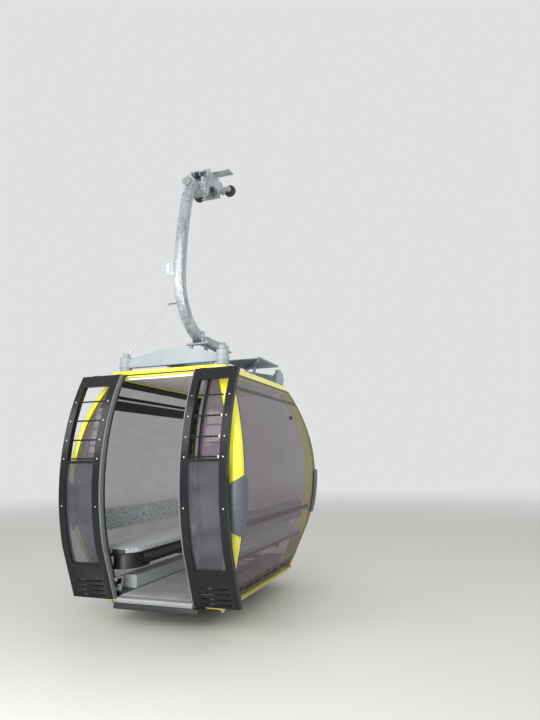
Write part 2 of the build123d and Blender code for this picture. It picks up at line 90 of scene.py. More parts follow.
def blank_material(name):
    """A new material with its node tree and its shader."""
    made = bpy.data.materials.new(name)
    made.use_nodes = True
    return made, made.node_tree, made.node_tree.nodes["Principled BSDF"]


surround = (0.74, 0.75, 0.75, 1)
ground_radius, ground_drop, fade_start, fade_end = 40, 0.2, 5.0, 22.0
world = bpy.data.worlds.new("studio")
world.use_nodes = True
scene.world = world
world.node_tree.nodes["Background"].inputs["Color"].default_value = surround

bpy.ops.object.select_all(action="DESELECT")
bpy.ops.mesh.primitive_circle_add(vertices=96, radius=ground_radius, fill_type="NGON",
                                  location=(0, 0, sill - ground_drop))
ground = bpy.context.object
ground.name = "studio_floor"
concrete, tree, shader = blank_material("studio_floor")
shader.inputs["Base Color"].default_value = (0.56, 0.55, 0.52, 1)
shader.inputs["Roughness"].default_value = 0.5
where = step(tree, "TexCoord").outputs["Object"]
far = step(tree, "VectorMath", {0: where}, operation="LENGTH").outputs["Value"]
fade = step(tree, "MapRange", {"Value": far, "From Min": fade_start, "From Max": fade_end},
            interpolation_type="SMOOTHSTEP")
glow = step(tree, "Emission", {"Color": surround})
mixed = step(tree, "MixShader", {0: fade.outputs[0], 1: shader.outputs[0], 2: glow.outputs[0]})
tree.links.new(mixed.outputs[0], tree.nodes["Material Output"].inputs["Surface"])
ground.data.materials.append(concrete)

lamps = (  # name, place, aim, size, watts
    ("front_lamp", (-4.5, -7.0, 0.6), (0, 0, -3.2), 4.5, 190),
    ("side_lamp", (7.0, -3.0, 0.2), (0, 0, -3.0), 4.0, 110),
    ("top_lamp", (0.5, 1.0, 3.6), (0, 0, -2.0), 6.0, 130),
    ("door_lamp", (0.8, -6.0, -1.8), (0, -0.3, -4.2), 2.4, 150),
    ("low_lamp", (1.0, -5.6, -3.7), (-0.2, 0.2, -2.4), 2.2, 130),
)
for name, spot, aim, size, watts in lamps:
    light = bpy.data.lights.new(name, "AREA")
    light.shape, light.size, light.energy = "DISK", size, watts
    lamp = linked(name, light)
    lamp.location = spot
    lamp.rotation_euler = (Vector(aim) - Vector(spot)).to_track_quat("-Z", "Y").to_euler()


# Shell: a sill rail, a roof rail with its gutter and four corner pillars, of folded and extruded aluminium.
# They are riveted together, then sprayed yellow under a clear coat. Its patterns are measured in metres.
def effect(name, **sockets):
    """An empty effect with named inputs at their first values, which gives Colour, Roughness and Normal."""
    group = bpy.data.node_groups.new(name, "ShaderNodeTree")
    for label, value in sockets.items():
        kind = "Float" if isinstance(value, float) else {3: "Vector", 4: "Color"}[len(value)]
        label = label.replace("_", " ")
        group.interface.new_socket(label, in_out="INPUT", socket_type=f"NodeSocket{kind}").default_value = value
    for label, kind in (("Colour", "Color"), ("Roughness", "Float"), ("Normal", "Vector")):
        group.interface.new_socket(label, in_out="OUTPUT", socket_type=f"NodeSocket{kind}")
    return group, group.nodes.new("NodeGroupInput").outputs, group.nodes.new("NodeGroupOutput").inputs


def give(tree, made, colour, roughness, normal):
    """Link an effect's three results to its outputs."""
    for label, value in (("Colour", colour), ("Roughness", roughness), ("Normal", normal)):
        tree.links.new(value, made[label])
    return tree


def times(tree, first, second):
    return step(tree, "Math", {0: first, 1: second}, operation="MULTIPLY").outputs[0]


def plus(tree, first, second):
    return step(tree, "Math", {0: first, 1: second}, operation="ADD").outputs[0]


def place_of(tree, scale=(1, 1, 1)):
    """The place on the object in metres, stretched along each axis."""
    where = step(tree, "TexCoord").outputs["Object"]
    return step(tree, "Mapping", {"Vector": where, "Scale": scale}).outputs[0]


def grain(tree, where, scale, detail=3.0, rough=0.55):
    """Soft random cloudiness, from 0 to 1."""
    cloud = {"Vector": where, "Scale": scale, "Detail": detail, "Roughness": rough}
    return step(tree, "TexNoise", cloud).outputs[0]


def spread(tree, value, low, high, to_low=0.0, to_high=1.0):
    """A value from one range taken to another, and held there."""
    return step(tree, "MapRange", {"Value": value, "From Min": low, "From Max": high,
                                   "To Min": to_low, "To Max": to_high}).outputs[0]


def blend_colours(tree, share, first, second):
    return step(tree, "Mix", {0: share, 6: first, 7: second}, data_type="RGBA").outputs[2]


def lightness(tree, colour, value, saturation=1.0):
    return step(tree, "HueSaturation", {"Color": colour, "Value": value, "Saturation": saturation}).outputs[0]


def rounded_normal(tree, radius):
    """The normal that makes sharp edges look rounded."""
    return step(tree, "Bevel", {"Radius": radius}, samples=4).outputs[0]


def relief(tree, strength, depth, height, normal=None):
    """Small relief of a surface, up to a depth in metres, over its own normal or a rounded one."""
    over = {} if normal is None else {"Normal": normal}
    return step(tree, "Bump", {"Strength": strength, "Distance": depth, "Height": height, **over}).outputs[0]


def paint_film():
    """Sprayed paint: faint unevenness, dust on what faces up, a worn edge and orange peel."""
    t, given, made = effect("paint film", Paint=(0.8, 0.8, 0.8, 1), Worn=(0.5, 0.5, 0.5, 1), Gloss=0.2,
                            Edge_Wear=0.2, Dust=0.3)
    where = place_of(t)
    cloud, speck, fine = grain(t, where, 2.2, 4), grain(t, where, 38, 5, 0.6), grain(t, where, 420, 2)
    darker = lightness(t, given["Paint"], 0.86, 0.97)
    colour = blend_colours(t, spread(t, cloud, 0.35, 0.7), given["Paint"], darker)
    facing_up = step(t, "SeparateXYZ", {0: step(t, "NewGeometry").outputs["Normal"]}).outputs["Z"]
    dusty = times(t, spread(t, facing_up, 0.2, 1.0), spread(t, speck, 0.35, 0.75))
    dusty = times(t, dusty, given["Dust"])
    colour = blend_colours(t, dusty, colour, (0.36, 0.34, 0.31, 1))
    rounded = rounded_normal(t, 0.0025)
    face = step(t, "NewGeometry").outputs["True Normal"]
    along = step(t, "VectorMath", {0: rounded, 1: face}, operation="DOT_PRODUCT").outputs["Value"]
    worn = times(t, times(t, spread(t, along, 1.0, 0.75), spread(t, speck, 0.52, 0.66)), given["Edge Wear"])
    colour = blend_colours(t, worn, colour, given["Worn"])
    rough = plus(t, given["Gloss"], spread(t, cloud, 0.3, 0.8, 0.0, 0.10))
    return give(t, made, colour, plus(t, rough, times(t, dusty, 0.35)), relief(t, 0.06, 0.0006, fine, rounded))


def finish_of(name, group, **values):
    """A material that one effect colours. Each value goes to the effect, or else to the shader."""
    made, tree, shader = blank_material(name)
    source = step(tree, "Group", node_tree=group)
    for key, value in values.items():
        label = key.replace("_", " ")
        (source if label in source.inputs else shader).inputs[label].default_value = value
    for key, socket in (("Colour", "Base Color"), ("Roughness", "Roughness"), ("Normal", "Normal")):
        tree.links.new(source.outputs[key], shader.inputs[socket])
    return made


def coat(finish, *names):
    """Give CAD pieces their finish."""
    for name in names:
        nodes[name].data.materials.clear()
        nodes[name].data.materials.append(finish)


film = paint_film()
yellow = finish_of("yellow_paint", film, Paint=(0.83, 0.80, 0.03, 1), Worn=(0.55, 0.50, 0.12, 1), Gloss=0.16,
                   Edge_Wear=0.25, Dust=0.2, Coat_Weight=0.5)
coat(yellow, "roof_rail", "rear_right_pillar", "rear_left_pillar", "front_right_pillar", "front_left_pillar")


def take(*pieces):
    """Select just these pieces, with the first one active."""
    bpy.ops.object.select_all(action="DESELECT")
    for piece in pieces:
        piece.select_set(True)
    bpy.context.view_layer.objects.active = pieces[0]
    return pieces[0]


def settle():
    """Apply the place, turn and scale of what is selected."""
    bpy.ops.object.transform_apply(location=True, rotation=True, scale=True)


def start_piece(primitive, **sizes):
    """Add a primitive with nothing else selected."""
    bpy.ops.object.select_all(action="DESELECT")
    primitive(**sizes)
    return bpy.context.object


def round_bar(sides, radius, length, place=(0, 0, 0), **turned):
    return start_piece(bpy.ops.mesh.primitive_cylinder_add, vertices=sides, radius=radius, depth=length,
                       location=place, **turned)


def slab(place, sizes, **turned):
    return start_piece(bpy.ops.mesh.primitive_cube_add, size=1, location=place, scale=sizes, **turned)


def every(face):
    return True


def top(face):
    return face.normal.z > 0.9


def worked(piece, test, *tools):
    """Pick the faces of a piece that pass a test, and use tools on them in turn, each given with its sizes."""
    take(piece)
    bpy.ops.object.mode_set(mode="EDIT")
    bpy.ops.mesh.select_mode(type="FACE")
    edited = bmesh.from_edit_mesh(piece.data)
    for face in edited.faces:
        face.select_set(test(face))
    bmesh.update_edit_mesh(piece.data)
    for tool, *sizes in tools:
        tool(*sizes)
    bpy.ops.object.mode_set(mode="OBJECT")
    return piece


def draw_in(width):
    bpy.ops.mesh.inset(thickness=width)


def lift(rise):
    bpy.ops.transform.translate(value=(0, 0, rise))


def round_edges(width, segments=2):
    bpy.ops.mesh.bevel(offset=width, segments=segments, affect="EDGES")


def merge(distance):
    bpy.ops.mesh.remove_doubles(threshold=distance)


def modified(piece, kind, **settings):
    """Add a modifier to a piece with its settings, and apply it."""
    take(piece)
    change = piece.modifiers.new("change", kind)
    for key, value in settings.items():
        setattr(change, key, value)
    bpy.ops.object.modifier_apply(modifier=change.name)
    return piece


def finished(piece, name, finish, body="cabin", angle=40):
    """Apply a piece's place, smooth it, and give it its name, its finish and the body that it rides on."""
    take(piece)
    settle()
    bpy.ops.object.shade_smooth_by_angle(angle=math.radians(angle))
    piece.name = name
    piece.data.materials.clear()
    piece.data.materials.append(finish)
    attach(piece, body)
    return piece


def joined(pieces):
    """Make one object of several."""
    take(*pieces)
    bpy.ops.object.join()
    return pieces[0]


def repeated(model, places):
    """Copies of a model joined into one, each moved and turned by the matrix of its place."""
    made = []
    for place in places:
        made.append(linked(model.name, model.data.copy()))
        made[-1].matrix_world = place
    bpy.data.objects.remove(model)
    return joined(made)


def stand(point, out):
    """The place of a model that stands up from the origin, moved to a point and turned to a direction."""
    return Matrix.Translation(point) @ Vector(out).to_track_quat("Z", "Y").to_matrix().to_4x4()


def copies(model, spots):
    """Copies of a model that stands up from the origin, one on each spot and turned to its direction."""
    return repeated(model, [stand(*spot) for spot in spots])


def domed_rivet(radius, height):
    """A rivet's head: a disc drawn up into a low dome."""
    disc = round_bar(14, radius, height, (0, 0, height / 2))
    return worked(disc, top, (draw_in, radius * 0.4), (lift, height * 0.5))


knee_height, widest_height, roof_height = 0.490, 1.100, 2.150


def curve_of(low, knee, wide, top):
    """Half the shell's length or width at a height over the sill: a line up to the knee, then one arc."""
    a, b, c, d = wide - knee, widest_height - knee_height, top - knee, roof_height - knee_height
    e = (a * (knee + wide) + b * (knee_height + widest_height)) / 2
    f, g = (c * (knee + top) + d * (knee_height + roof_height)) / 2, a * d - b * c
    middle, level = (d * e - b * f) / g, (a * f - c * e) / g
    radius = math.hypot(knee - middle, knee_height - level)

    def half(z):
        if z <= knee_height:
            return low + (knee - low) * z / knee_height
        return middle + math.sqrt(radius ** 2 - (z - level) ** 2)
    return half


end_low, end_knee, end_wide, end_roof = 0.632, 0.808, 0.895, 0.608
side_low, side_knee, side_wide, side_roof = 0.948, 1.148, 1.240, 0.932
half_length = curve_of(end_low, end_knee, end_wide, end_roof)
half_width = curve_of(side_low, side_knee, side_wide, side_roof)
end_slope, side_slope = (end_knee - end_low) / knee_height, (side_knee - side_low) / knee_height
pillar_width, wall_depth = 0.100, 0.045


def solid_copy(source):
    """A merged copy of a CAD piece, to be reshaped into a piece that replaces it."""
    return worked(linked("copy", nodes[source].data.copy()), every, (merge, 0.00005))


def box_piece(one, other, bevel=0.0, segments=2, base=sill):
    """A block between two opposite corners, whose heights are over a base, with its edges rounded over."""
    low, high = (Vector(map(choice, one, other)) for choice in (min, max))
    block = slab((low + high) / 2 + Vector((0, 0, base)), high - low)
    settle()
    return worked(block, every, (round_edges, bevel, segments)) if bevel else block


def cut_with(piece, *tools, operation="DIFFERENCE"):
    """Cut a piece with tools, or keep only what they cover, and remove the tools."""
    tool = joined(list(tools))
    modified(piece, "BOOLEAN", operation=operation, object=tool, solver="EXACT")
    bpy.data.objects.remove(tool)
    return piece


# Sill rail: one extrusion that hangs 22 mm below the floor's edge all round, open between the door jambs.
# The pillars' feet go down to it, and it is riveted through from outside.
rail_drop, rail_top, cad_rail_height, jamb_out = 0.022, 0.022, 0.070, 0.450
foot_x, foot_y = 0.645 - pillar_width, 0.963 - pillar_width
sill_rail = cut_with(solid_copy("bottom_frame"), box_piece((-jamb_out, -1.2, -0.1), (jamb_out, -0.5, 0.2)))
corners = [box_piece((turn * foot_x, side * foot_y, -0.1), (turn * (foot_x + 0.3), side * (foot_y + 0.3), 0.2))
           for turn in (-1, 1) for side in (-1, 1)]
feet = cut_with(solid_copy("bottom_frame"), *corners, operation="INTERSECT")
for piece, low, high in ((sill_rail, -rail_drop, rail_top), (feet, rail_top, cad_rail_height)):
    for vertex in piece.data.vertices:
        old = vertex.co.z - sill
        new = low + old * (high - low) / cad_rail_height
        if abs(vertex.co.x) > jamb_out + 0.02:
            vertex.co.x += math.copysign(end_slope * (new - old), vertex.co.x)
        vertex.co.y += math.copysign(side_slope * (new - old), vertex.co.y)
        vertex.co.z = sill + new
finished(joined([sill_rail, feet]), "sill_rail", yellow, angle=30)
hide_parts("bottom_frame")
rivet_pitch = 0.18
rivet_spots = [((end * half_length(0), rivet_pitch * number, sill), (end, 0, -end_slope))
               for number in range(-4, 5) for end in (-1, 1)]
finished(copies(domed_rivet(0.0055, 0.002), rivet_spots), "sill_rivets", yellow)

# Gutter: a channel of folded aluminium, riveted along the roof's edge over the doors and sprayed with the rail.
# Its upper lip is cut short at both ends, and a black strip under it is painted shade, for the dark gap below
# the gutter.
gutter_half, gutter_out, gutter_in = 0.600, 0.972, 0.925
gutter_low, gutter_top, gutter_wall = 2.104, 2.140, 0.007
gutter_folds = (  # half length, outer edge, inner edge, foot, top
    (gutter_half, gutter_out, gutter_out - gutter_wall, gutter_low, gutter_top),
    (gutter_half, gutter_out - 0.004, gutter_in + 0.018, gutter_low, gutter_low + gutter_wall),
    (gutter_half - 0.03, gutter_out - 0.004, gutter_in, gutter_top - gutter_wall, gutter_top))
gutter = joined([box_piece((-half, -start, low), (half, -stop, high), 0.002)
                 for half, start, stop, low, high in gutter_folds])
finished(gutter, "gutter_channel", yellow)
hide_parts("roof_gutter")
# A black strip under the gutter's lip: painted shade in the gap below it.
gutter_shadow_strip = box_piece((-0.575, -0.9675, 2.088), (0.575, -0.940, 2.1035), 0.002)


# Windows: curved panes of body-tinted glass, bonded on flanges of the rails and pillars behind a black bead.
# The strips below them are of the same glass with slots cut through, over a black grille that lets air in.
def smoked_glass(name, cover, tint):
    """Body-tinted glass, a little hazier and dustier in long soft smears."""
    made, t, shader = blank_material(name)
    smear = grain(t, place_of(t, (1, 1, 2.5)), 3.5, 6, 0.6)
    t.links.new(plus(t, spread(t, smear, 0.35, 0.8, 0.0, 0.06), cover), shader.inputs["Alpha"])
    t.links.new(spread(t, smear, 0.3, 0.8, 0.02, 0.08), shader.inputs["Roughness"])
    dusty = tuple(min(1, 1.8 * value) for value in tint[:3]) + (1,)
    t.links.new(blend_colours(t, spread(t, smear, 0.4, 0.8), tint, dusty), shader.inputs["Base Color"])
    shader.inputs["Specular IOR Level"].default_value = 0.6
    return made


pane_glass = smoked_glass("smoked_glass", 0.38, (0.085, 0.060, 0.078, 1))
coat(pane_glass, "right_end_window", "left_end_window", "upper_windows", "rear_window")
pane_start = 0.496
doorway = box_piece((-pane_start, -1.3, 0), (pane_start, -0.85, 2.1))
fixed_panes = finished(cut_with(solid_copy("side_panes"), doorway), "fixed_panes", pane_glass,
                       angle=30)
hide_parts("side_panes")
black_paint = finish_of("black_paint", film, Paint=(0.012, 0.012, 0.014, 1), Worn=(0.12, 0.12, 0.12, 1),
                        Gloss=0.34, Edge_Wear=0.35, Dust=0.2)
coat(black_paint, "transoms")
glass_thickness, glass_low, rail_low, seam = 0.012, 0.125, 2.075, 0.0003
slot_length, slot_height, slot_lean, slot_pitch, slot_z = 0.222, 0.038, 0.024, 0.250, 0.086


def sheet(columns, rows):
    """A flat grid one metre square, to be given a shape vertex by vertex."""
    return start_piece(bpy.ops.mesh.primitive_grid_add, x_subdivisions=columns, y_subdivisions=rows, size=1)


def level_of(value, z):
    return value(z) if callable(value) else value


def curved_strip(face, start, stop, low, high, inset, thickness, rows=14, side=1):
    """A strip that follows the shell on one face, between two places along it and two heights over the sill.

    Inset is how far its outer face lies inside the shell, and its thickness goes on inwards from there.
    A side of -1 takes both places to the other half of the face."""
    strip = sheet(2, rows)
    turn = -1 if face in ("left", "front") else 1
    at_end = face in ("left", "right")
    for vertex in strip.data.vertices:
        z = low + (vertex.co.y + 0.5) * (high - low)
        first, last = side * level_of(start, z), side * level_of(stop, z)
        along = first + (vertex.co.x + 0.5) * (last - first)
        if at_end:
            vertex.co = (turn * (half_length(z) - inset), along, sill + z)
        else:
            vertex.co = (along, turn * (half_width(z) - inset), sill + z)
    normal = strip.data.polygons[0].normal
    inwards = -turn * (normal.x if at_end else normal.y)
    return modified(strip, "SOLIDIFY", thickness=thickness, offset=1 if inwards > 0 else -1)


def strip_pair(*places, rows):
    """Two strips on the front, each the mirror image of the other."""
    return [curved_strip("front", *places, rows=rows, side=side) for side in (1, -1)]


def pillar_edge(half, further=0.0):
    """The pillar's edge at each height, or a line further in from it."""
    return lambda z: half(z) - pillar_width - further


def minus(place):
    return lambda z: -place(z)


def face_out():
    bpy.ops.mesh.normals_make_consistent(inside=False)


def slot_bars(face, count, near=-0.06, far=0.06, wider=0.0):
    """A row of leaning bars, which cut the slots through a strip or stand behind them."""
    tools, long, tall = [], slot_length / 2 + wider, slot_height / 2 + wider
    for number in range(count):
        middle = (number - (count - 1) / 2) * slot_pitch
        tool = box_piece((middle - long, near, -tall), (middle + long, far, tall), base=0)
        for vertex in tool.data.vertices:
            right_side, over = vertex.co.x > middle, vertex.co.z > 0
            x = vertex.co.x - (0 if right_side == over else slot_lean if right_side else -slot_lean)
            depth, height = vertex.co.y, slot_z + vertex.co.z
            if face == "rear":
                vertex.co = (x, half_width(height) + depth, sill + height)
            else:
                vertex.co = ((1 if face == "right" else -1) * (half_length(height) + depth), x, sill + height)
        tools.append(worked(tool, every, (face_out,)))
    return tools


strips, grilles = [], []
for face, half, count in (("right", half_width, 7), ("left", half_width, 7), ("rear", half_length, 4)):
    edge = pillar_edge(half)
    strip = curved_strip(face, minus(edge), edge, rail_top + seam, glass_low - seam, 0, glass_thickness, rows=3)
    strips.append(cut_with(strip, *slot_bars(face, count)))
    grilles += slot_bars(face, count, -0.019, -0.013, 0.004)
strips += strip_pair(pane_start, pillar_edge(half_length), rail_top + seam, cad_rail_height, 0, glass_thickness,
                     rows=2)
vent_strips = finished(joined(strips), "vent_strips", pane_glass, angle=30)
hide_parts("end_vent_strips", "rear_vent_strip")

# Bands behind the glass: the pillars' and the roof rail's flanges, 50 mm wide, which the glass is bonded to.
# They are yellow on the rear right pillar and the roof rail. The other pillars have a black lining over them.
band_width, band_inset, band_thickness = 0.050, 0.0128, 0.004
yellow_bands, black_bands = [], []
for face, side, bands in (("right", 1, yellow_bands), ("right", -1, black_bands), ("left", 1, black_bands),
                          ("left", -1, black_bands), ("rear", 1, yellow_bands), ("rear", -1, black_bands)):
    half = half_length if face == "rear" else half_width
    bands.append(curved_strip(face, pillar_edge(half, band_width), pillar_edge(half), cad_rail_height, rail_low,
                              band_inset, band_thickness, rows=16, side=side))
    if bands is black_bands:
        bands.append(curved_strip(face, pillar_edge(half, 0.012), pillar_edge(half, 0.030 - pillar_width),
                                  cad_rail_height + 0.01, rail_low - 0.005, wall_depth + 0.001, 0.005, rows=16,
                                  side=side))
edge = pillar_edge(half_width, band_width)
for face in ("right", "left"):
    yellow_bands.append(curved_strip(face, minus(edge), edge, rail_low - 0.055, rail_low, band_inset,
                                     band_thickness, rows=3))
finished(joined(yellow_bands), "pillar_flanges", yellow, angle=30)
finished(joined(black_bands), "pillar_linings", black_paint, angle=30)

# Left end: the long housing of its vent, which is also a handhold, and a black strip under the roof rail.
# The housing is folded aluminium sprayed black, and is screwed to the end wall's rail from inside.
housing_parts = []
for further, low, high, depth, thickness, rows in ((0.04, 1.79, 1.88, wall_depth + 0.001, 0.055, 4),
                                                   (0.02, 2.030, 2.074, 0.020, 0.045, 3)):
    edge = pillar_edge(half_width, -further)
    housing_parts.append(curved_strip("left", minus(edge), edge, low, high, depth, thickness, rows=rows))
housing = worked(joined(housing_parts), every, (face_out,))
finished(housing, "vent_housing", black_paint, angle=30)
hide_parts("handrails")


def moulded_skin():
    """Moulded rubber and plastic: a fine leather grain and scuffs."""
    t, given, made = effect("moulded skin", Body=(0.1, 0.1, 0.1, 1), Scuff=(0.3, 0.3, 0.3, 1),
                            Base_Roughness=0.5, Grain_Depth=0.3)
    cells = step(t, "TexVoronoi", {"Vector": place_of(t), "Scale": 480.0}, feature="SMOOTH_F1").outputs[0]
    scuffs = grain(t, place_of(t, (1, 1, 3)), 9, 8, 0.68)
    colour = blend_colours(t, spread(t, scuffs, 0.56, 0.78, 0.0, 0.55), given["Body"], given["Scuff"])
    rough = plus(t, given["Base Roughness"], spread(t, scuffs, 0.3, 0.8, -0.08, 0.14))
    skin = relief(t, given["Grain Depth"], 0.0005, cells, rounded_normal(t, 0.004))
    return give(t, made, colour, rough, skin)


moulded = moulded_skin()
black_rubber = finish_of("black_rubber", moulded, Body=(0.018, 0.018, 0.02, 1), Scuff=(0.07, 0.07, 0.07, 1),
                         Base_Roughness=0.55, Grain_Depth=0.15)


def piece_of(name):
    """A CAD piece by its name, or a finished piece itself."""
    return nodes[name] if isinstance(name, str) else name


def bead(sources, radius):
    """A round bead of rubber along the outer rim of each pane of glass."""
    beads = []
    for source, outward in sources:
        cord = linked("bead", piece_of(source).data.copy())
        rim = bmesh.new()
        rim.from_mesh(cord.data)
        bmesh.ops.remove_doubles(rim, verts=rim.verts, dist=0.00005)
        rim.normal_update()
        front = {face for face in rim.faces if face.normal.dot(outward(face.calc_center_median())) > 0.6}
        line = {edge for edge in rim.edges if sum(face in front for face in edge.link_faces) == 1}
        bmesh.ops.delete(rim, geom=[edge for edge in rim.edges if edge not in line], context="EDGES_FACES")
        bmesh.ops.delete(rim, geom=list(rim.faces), context="FACES_ONLY")
        bmesh.ops.delete(rim, geom=[vertex for vertex in rim.verts if not vertex.link_edges], context="VERTS")
        rim.to_mesh(cord.data)
        rim.free()
        take(cord)
        bpy.ops.object.convert(target="CURVE")
        bpy.context.object.data.bevel_depth = radius
        bpy.context.object.data.bevel_resolution = 1
        bpy.ops.object.convert(target="MESH")
        beads.append(bpy.context.object)
    return joined(beads)


def sideways(point):
    return Vector((math.copysign(1, point.x), 0, 0))


def frontways(point):
    return Vector((0, math.copysign(1, point.y), 0))


finished(bead((("right_end_window", sideways), ("left_end_window", sideways), ("upper_windows", sideways),
               ("rear_window", frontways), (fixed_panes, frontways)), 0.0028),
         "window_beads", black_rubber, angle=60)

# Grilles and gutter shadow strip: a patch of black gauze is moulded in plastic and clipped behind each slot of
# the strips.
# The black rubber strip under the gutter is painted shade, for the dark gap below it.
finished(joined(grilles), "vent_grilles", black_rubber)
finished(gutter_shadow_strip, "gutter_shadow_strip", black_rubber)


# Lines on the end glass: two thin dark bands that run level near its foot, at each end of the cabin.
# They are printed on the pane's outer face in black enamel and fired into it.
def touch(name, point, direction):
    """Where a line from a point meets a piece, and the surface's direction there."""
    hit, spot, normal, _ = piece_of(name).ray_cast(Vector(point), Vector(direction))
    assert hit, (name, point)
    return spot, normal


def subdivide(cuts):
    bpy.ops.mesh.subdivide(number_cuts=cuts)


print_heights, prints = (0.215, 0.247), []
for end, pane in ((-1, "left_end_window"), (1, "right_end_window")):
    for height in print_heights:
        spot, normal = touch(pane, (end * 2, 0, sill + height), (-end, 0, 0))
        strip = slab(spot + normal * 0.0002, (0.0008, 1.70, 0.003), rotation=(0, -end * math.asin(normal.z), 0))
        prints.append(worked(strip, every, (subdivide, 3)))
finished(joined(prints), "glass_lines", black_paint)

# Knob and cover on the glass: a round catch high on the right end, and an oval cover on the right side pane.
# Both are turned or moulded in black plastic and screwed through a hole in the pane.
def squash(*sizes):
    bpy.ops.transform.resize(value=sizes)


catch = worked(round_bar(32, 0.021, 0.02, (0, 0, 0.01)), top, (draw_in, 0.005), (lift, 0.004), (draw_in, 0.004),
               (lift, -0.003))
catch = copies(catch, [touch("right_end_window", (2, 0.513, sill + 1.723), (-1, 0, 0))])
oval = worked(round_bar(32, 0.03, 0.006, (0, 0, 0.003)), every, (squash, 0.6, 1.5, 1))
oval = worked(oval, top, (draw_in, 0.004), (lift, 0.003))
oval = copies(oval, [touch(fixed_panes, (0.66, -2, sill + 0.435), (0, 1, 0))])
finished(joined([catch, oval]), "glass_fittings", black_rubber)


# Doors: two leaves of powder-coated aluminium, with a pressed louvre band, a glass and open bars above it.
# Each hangs from two flat arms, runs on a ball at its foot, and has a grey rubber seal along its leading edge.
door_black = finish_of("door_black", film, Paint=(0.007, 0.007, 0.009, 1), Worn=(0.10, 0.10, 0.10, 1),
                       Gloss=0.20, Edge_Wear=0.25, Dust=0.05, Specular_IOR_Level=0.32)
coat(door_black, "right_door_bars", "left_door_bars")
opening_half, jamb_near, jamb_far, jamb_proud = 0.400, 0.480, 0.508, 0.0015
posts = solid_copy("door_jambs")
for vertex in posts.data.vertices:
    across = jamb_near + (abs(vertex.co.x) - opening_half) / (jamb_out - opening_half) * (jamb_far - jamb_near)
    vertex.co.x = math.copysign(across, vertex.co.x)
    vertex.co.y -= jamb_proud
posts = finished(posts, "door_posts", door_black, angle=30)
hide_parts("door_jambs")
leaf_inner, leaf_outer, stile = 0.409, 0.838, 0.068
stand_off, leaf_thickness = 0.098, 0.055
kick_high, mid_rail, mid_rail_height, leaf_top = 0.350, 1.250, 0.020, 2.085
light_inner, light_outer = leaf_inner + stile, leaf_outer - stile
leaf_back, leaf_pane_depth, leaf_pane_thickness = -stand_off - leaf_thickness, 0.020, 0.008
cad_rail_low, cad_rail_high = 1.10, 1.19
leaf_glass = smoked_glass("leaf_glass", 0.54, (0.060, 0.056, 0.070, 1))
leaves = {}
for hand, turn in (("right", 1), ("left", -1)):
    old_rail = box_piece((turn * light_inner, -1.6, cad_rail_low), (turn * light_outer, -0.9, cad_rail_high))
    leaf = cut_with(solid_copy(f"{hand}_door_frame"), old_rail)
    rail = curved_strip("front", light_inner - 0.001, light_outer + 0.001, mid_rail, mid_rail + mid_rail_height,
                        leaf_back, leaf_thickness, rows=2, side=turn)
    leaf = finished(joined([leaf, rail]), f"{hand}_leaf", door_black, angle=30)
    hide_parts(f"{hand}_door_frame")
    leaves[hand] = leaf
    pane = curved_strip("front", light_inner, light_outer, kick_high, mid_rail, leaf_back + leaf_pane_depth,
                        leaf_pane_thickness, rows=12, side=turn)
    pane = finished(pane, f"{hand}_leaf_glass", leaf_glass, angle=30)
    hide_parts(f"{hand}_door_glass")

# Jamb feet: the door posts go on down past the floor's edge to the sill rail's foot.
# They are the same extruded posts, powder-coated black and bolted to the rail's cut ends.
jamb_feet = strip_pair(jamb_near, jamb_far, -rail_drop, cad_rail_height, -jamb_proud, wall_depth, rows=2)
finished(joined(jamb_feet), "jamb_feet", door_black, angle=30)

# Arms: two flat black bars over each leaf carry it from the roof rail. At its foot, a swan neck from the jamb
# ends in a ball that runs in a socket.
ball_x, arm_places, arm_half_width = 0.425, (0.463, 0.723), 0.032
arm_parts = []
for turn in (1, -1):
    for middle in arm_places:
        arm_parts.append(box_piece(
            (turn * middle - arm_half_width, -half_width(leaf_top) - stand_off - 0.010, leaf_top + 0.0005),
            (turn * middle + arm_half_width, -half_width(leaf_top) - 0.0005, leaf_top + 0.012), 0.004))
    arm_parts.append(box_piece((turn * ball_x - 0.028, -1.135, 0.13), (turn * ball_x + 0.028, -1.085, 0.185),
                               0.006))
arms = finished(joined(arm_parts), "leaf_arms", door_black)
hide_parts("door_arms")
seal_rubber = finish_of("seal_rubber", moulded, Body=(0.125, 0.135, 0.142, 1), Scuff=(0.30, 0.30, 0.29, 1),
                        Base_Roughness=0.6, Grain_Depth=0.12)
coat(seal_rubber, "right_door_seal", "left_door_seal")
post_seals = strip_pair(jamb_near - 0.014, jamb_near + 0.012, 0.080, 2.060, -0.009, 0.016, rows=16)
finished(joined(post_seals), "post_seals", seal_rubber, angle=30)
gasket, gaskets = 0.007, []
for x0, x1, z0, z1, rows in ((light_inner, light_inner + gasket, kick_high, mid_rail, 12),
                             (light_outer - gasket, light_outer, kick_high, mid_rail, 12),
                             (light_inner, light_outer, kick_high, kick_high + gasket, 2),
                             (light_inner, light_outer, mid_rail - gasket, mid_rail, 2)):
    gaskets += strip_pair(x0, x1, z0, z1, leaf_back + 0.013, gasket, rows=rows)
finished(joined(gaskets), "door_gaskets", black_rubber, angle=60)


def fine_scratches():
    """Rolled or turned metal: fine lines along one direction, with stains, over edges that look rounded."""
    t, given, made = effect("fine scratches", Metal=(0.6, 0.6, 0.6, 1), Stain=(0.3, 0.3, 0.3, 1),
                            Stretch=(1.0, 1.0, 1.0), Base_Roughness=0.35, Staining=0.4)
    where = place_of(t)
    lines = step(t, "VectorMath", {0: where, 1: given["Stretch"]}, operation="MULTIPLY").outputs[0]
    scratch, stain = grain(t, lines, 60, 6, 0.7), grain(t, where, 6, 5, 0.6)
    share = times(t, spread(t, stain, 0.42, 0.72), given["Staining"])
    colour = blend_colours(t, share, given["Metal"], given["Stain"])
    rough = plus(t, given["Base Roughness"], spread(t, scratch, 0.3, 0.7, -0.06, 0.1))
    return give(t, made, lightness(t, colour, spread(t, scratch, 0.3, 0.7, 0.88, 1.1)), rough,
                relief(t, 0.18, 0.0003, scratch, rounded_normal(t, 0.0015)))


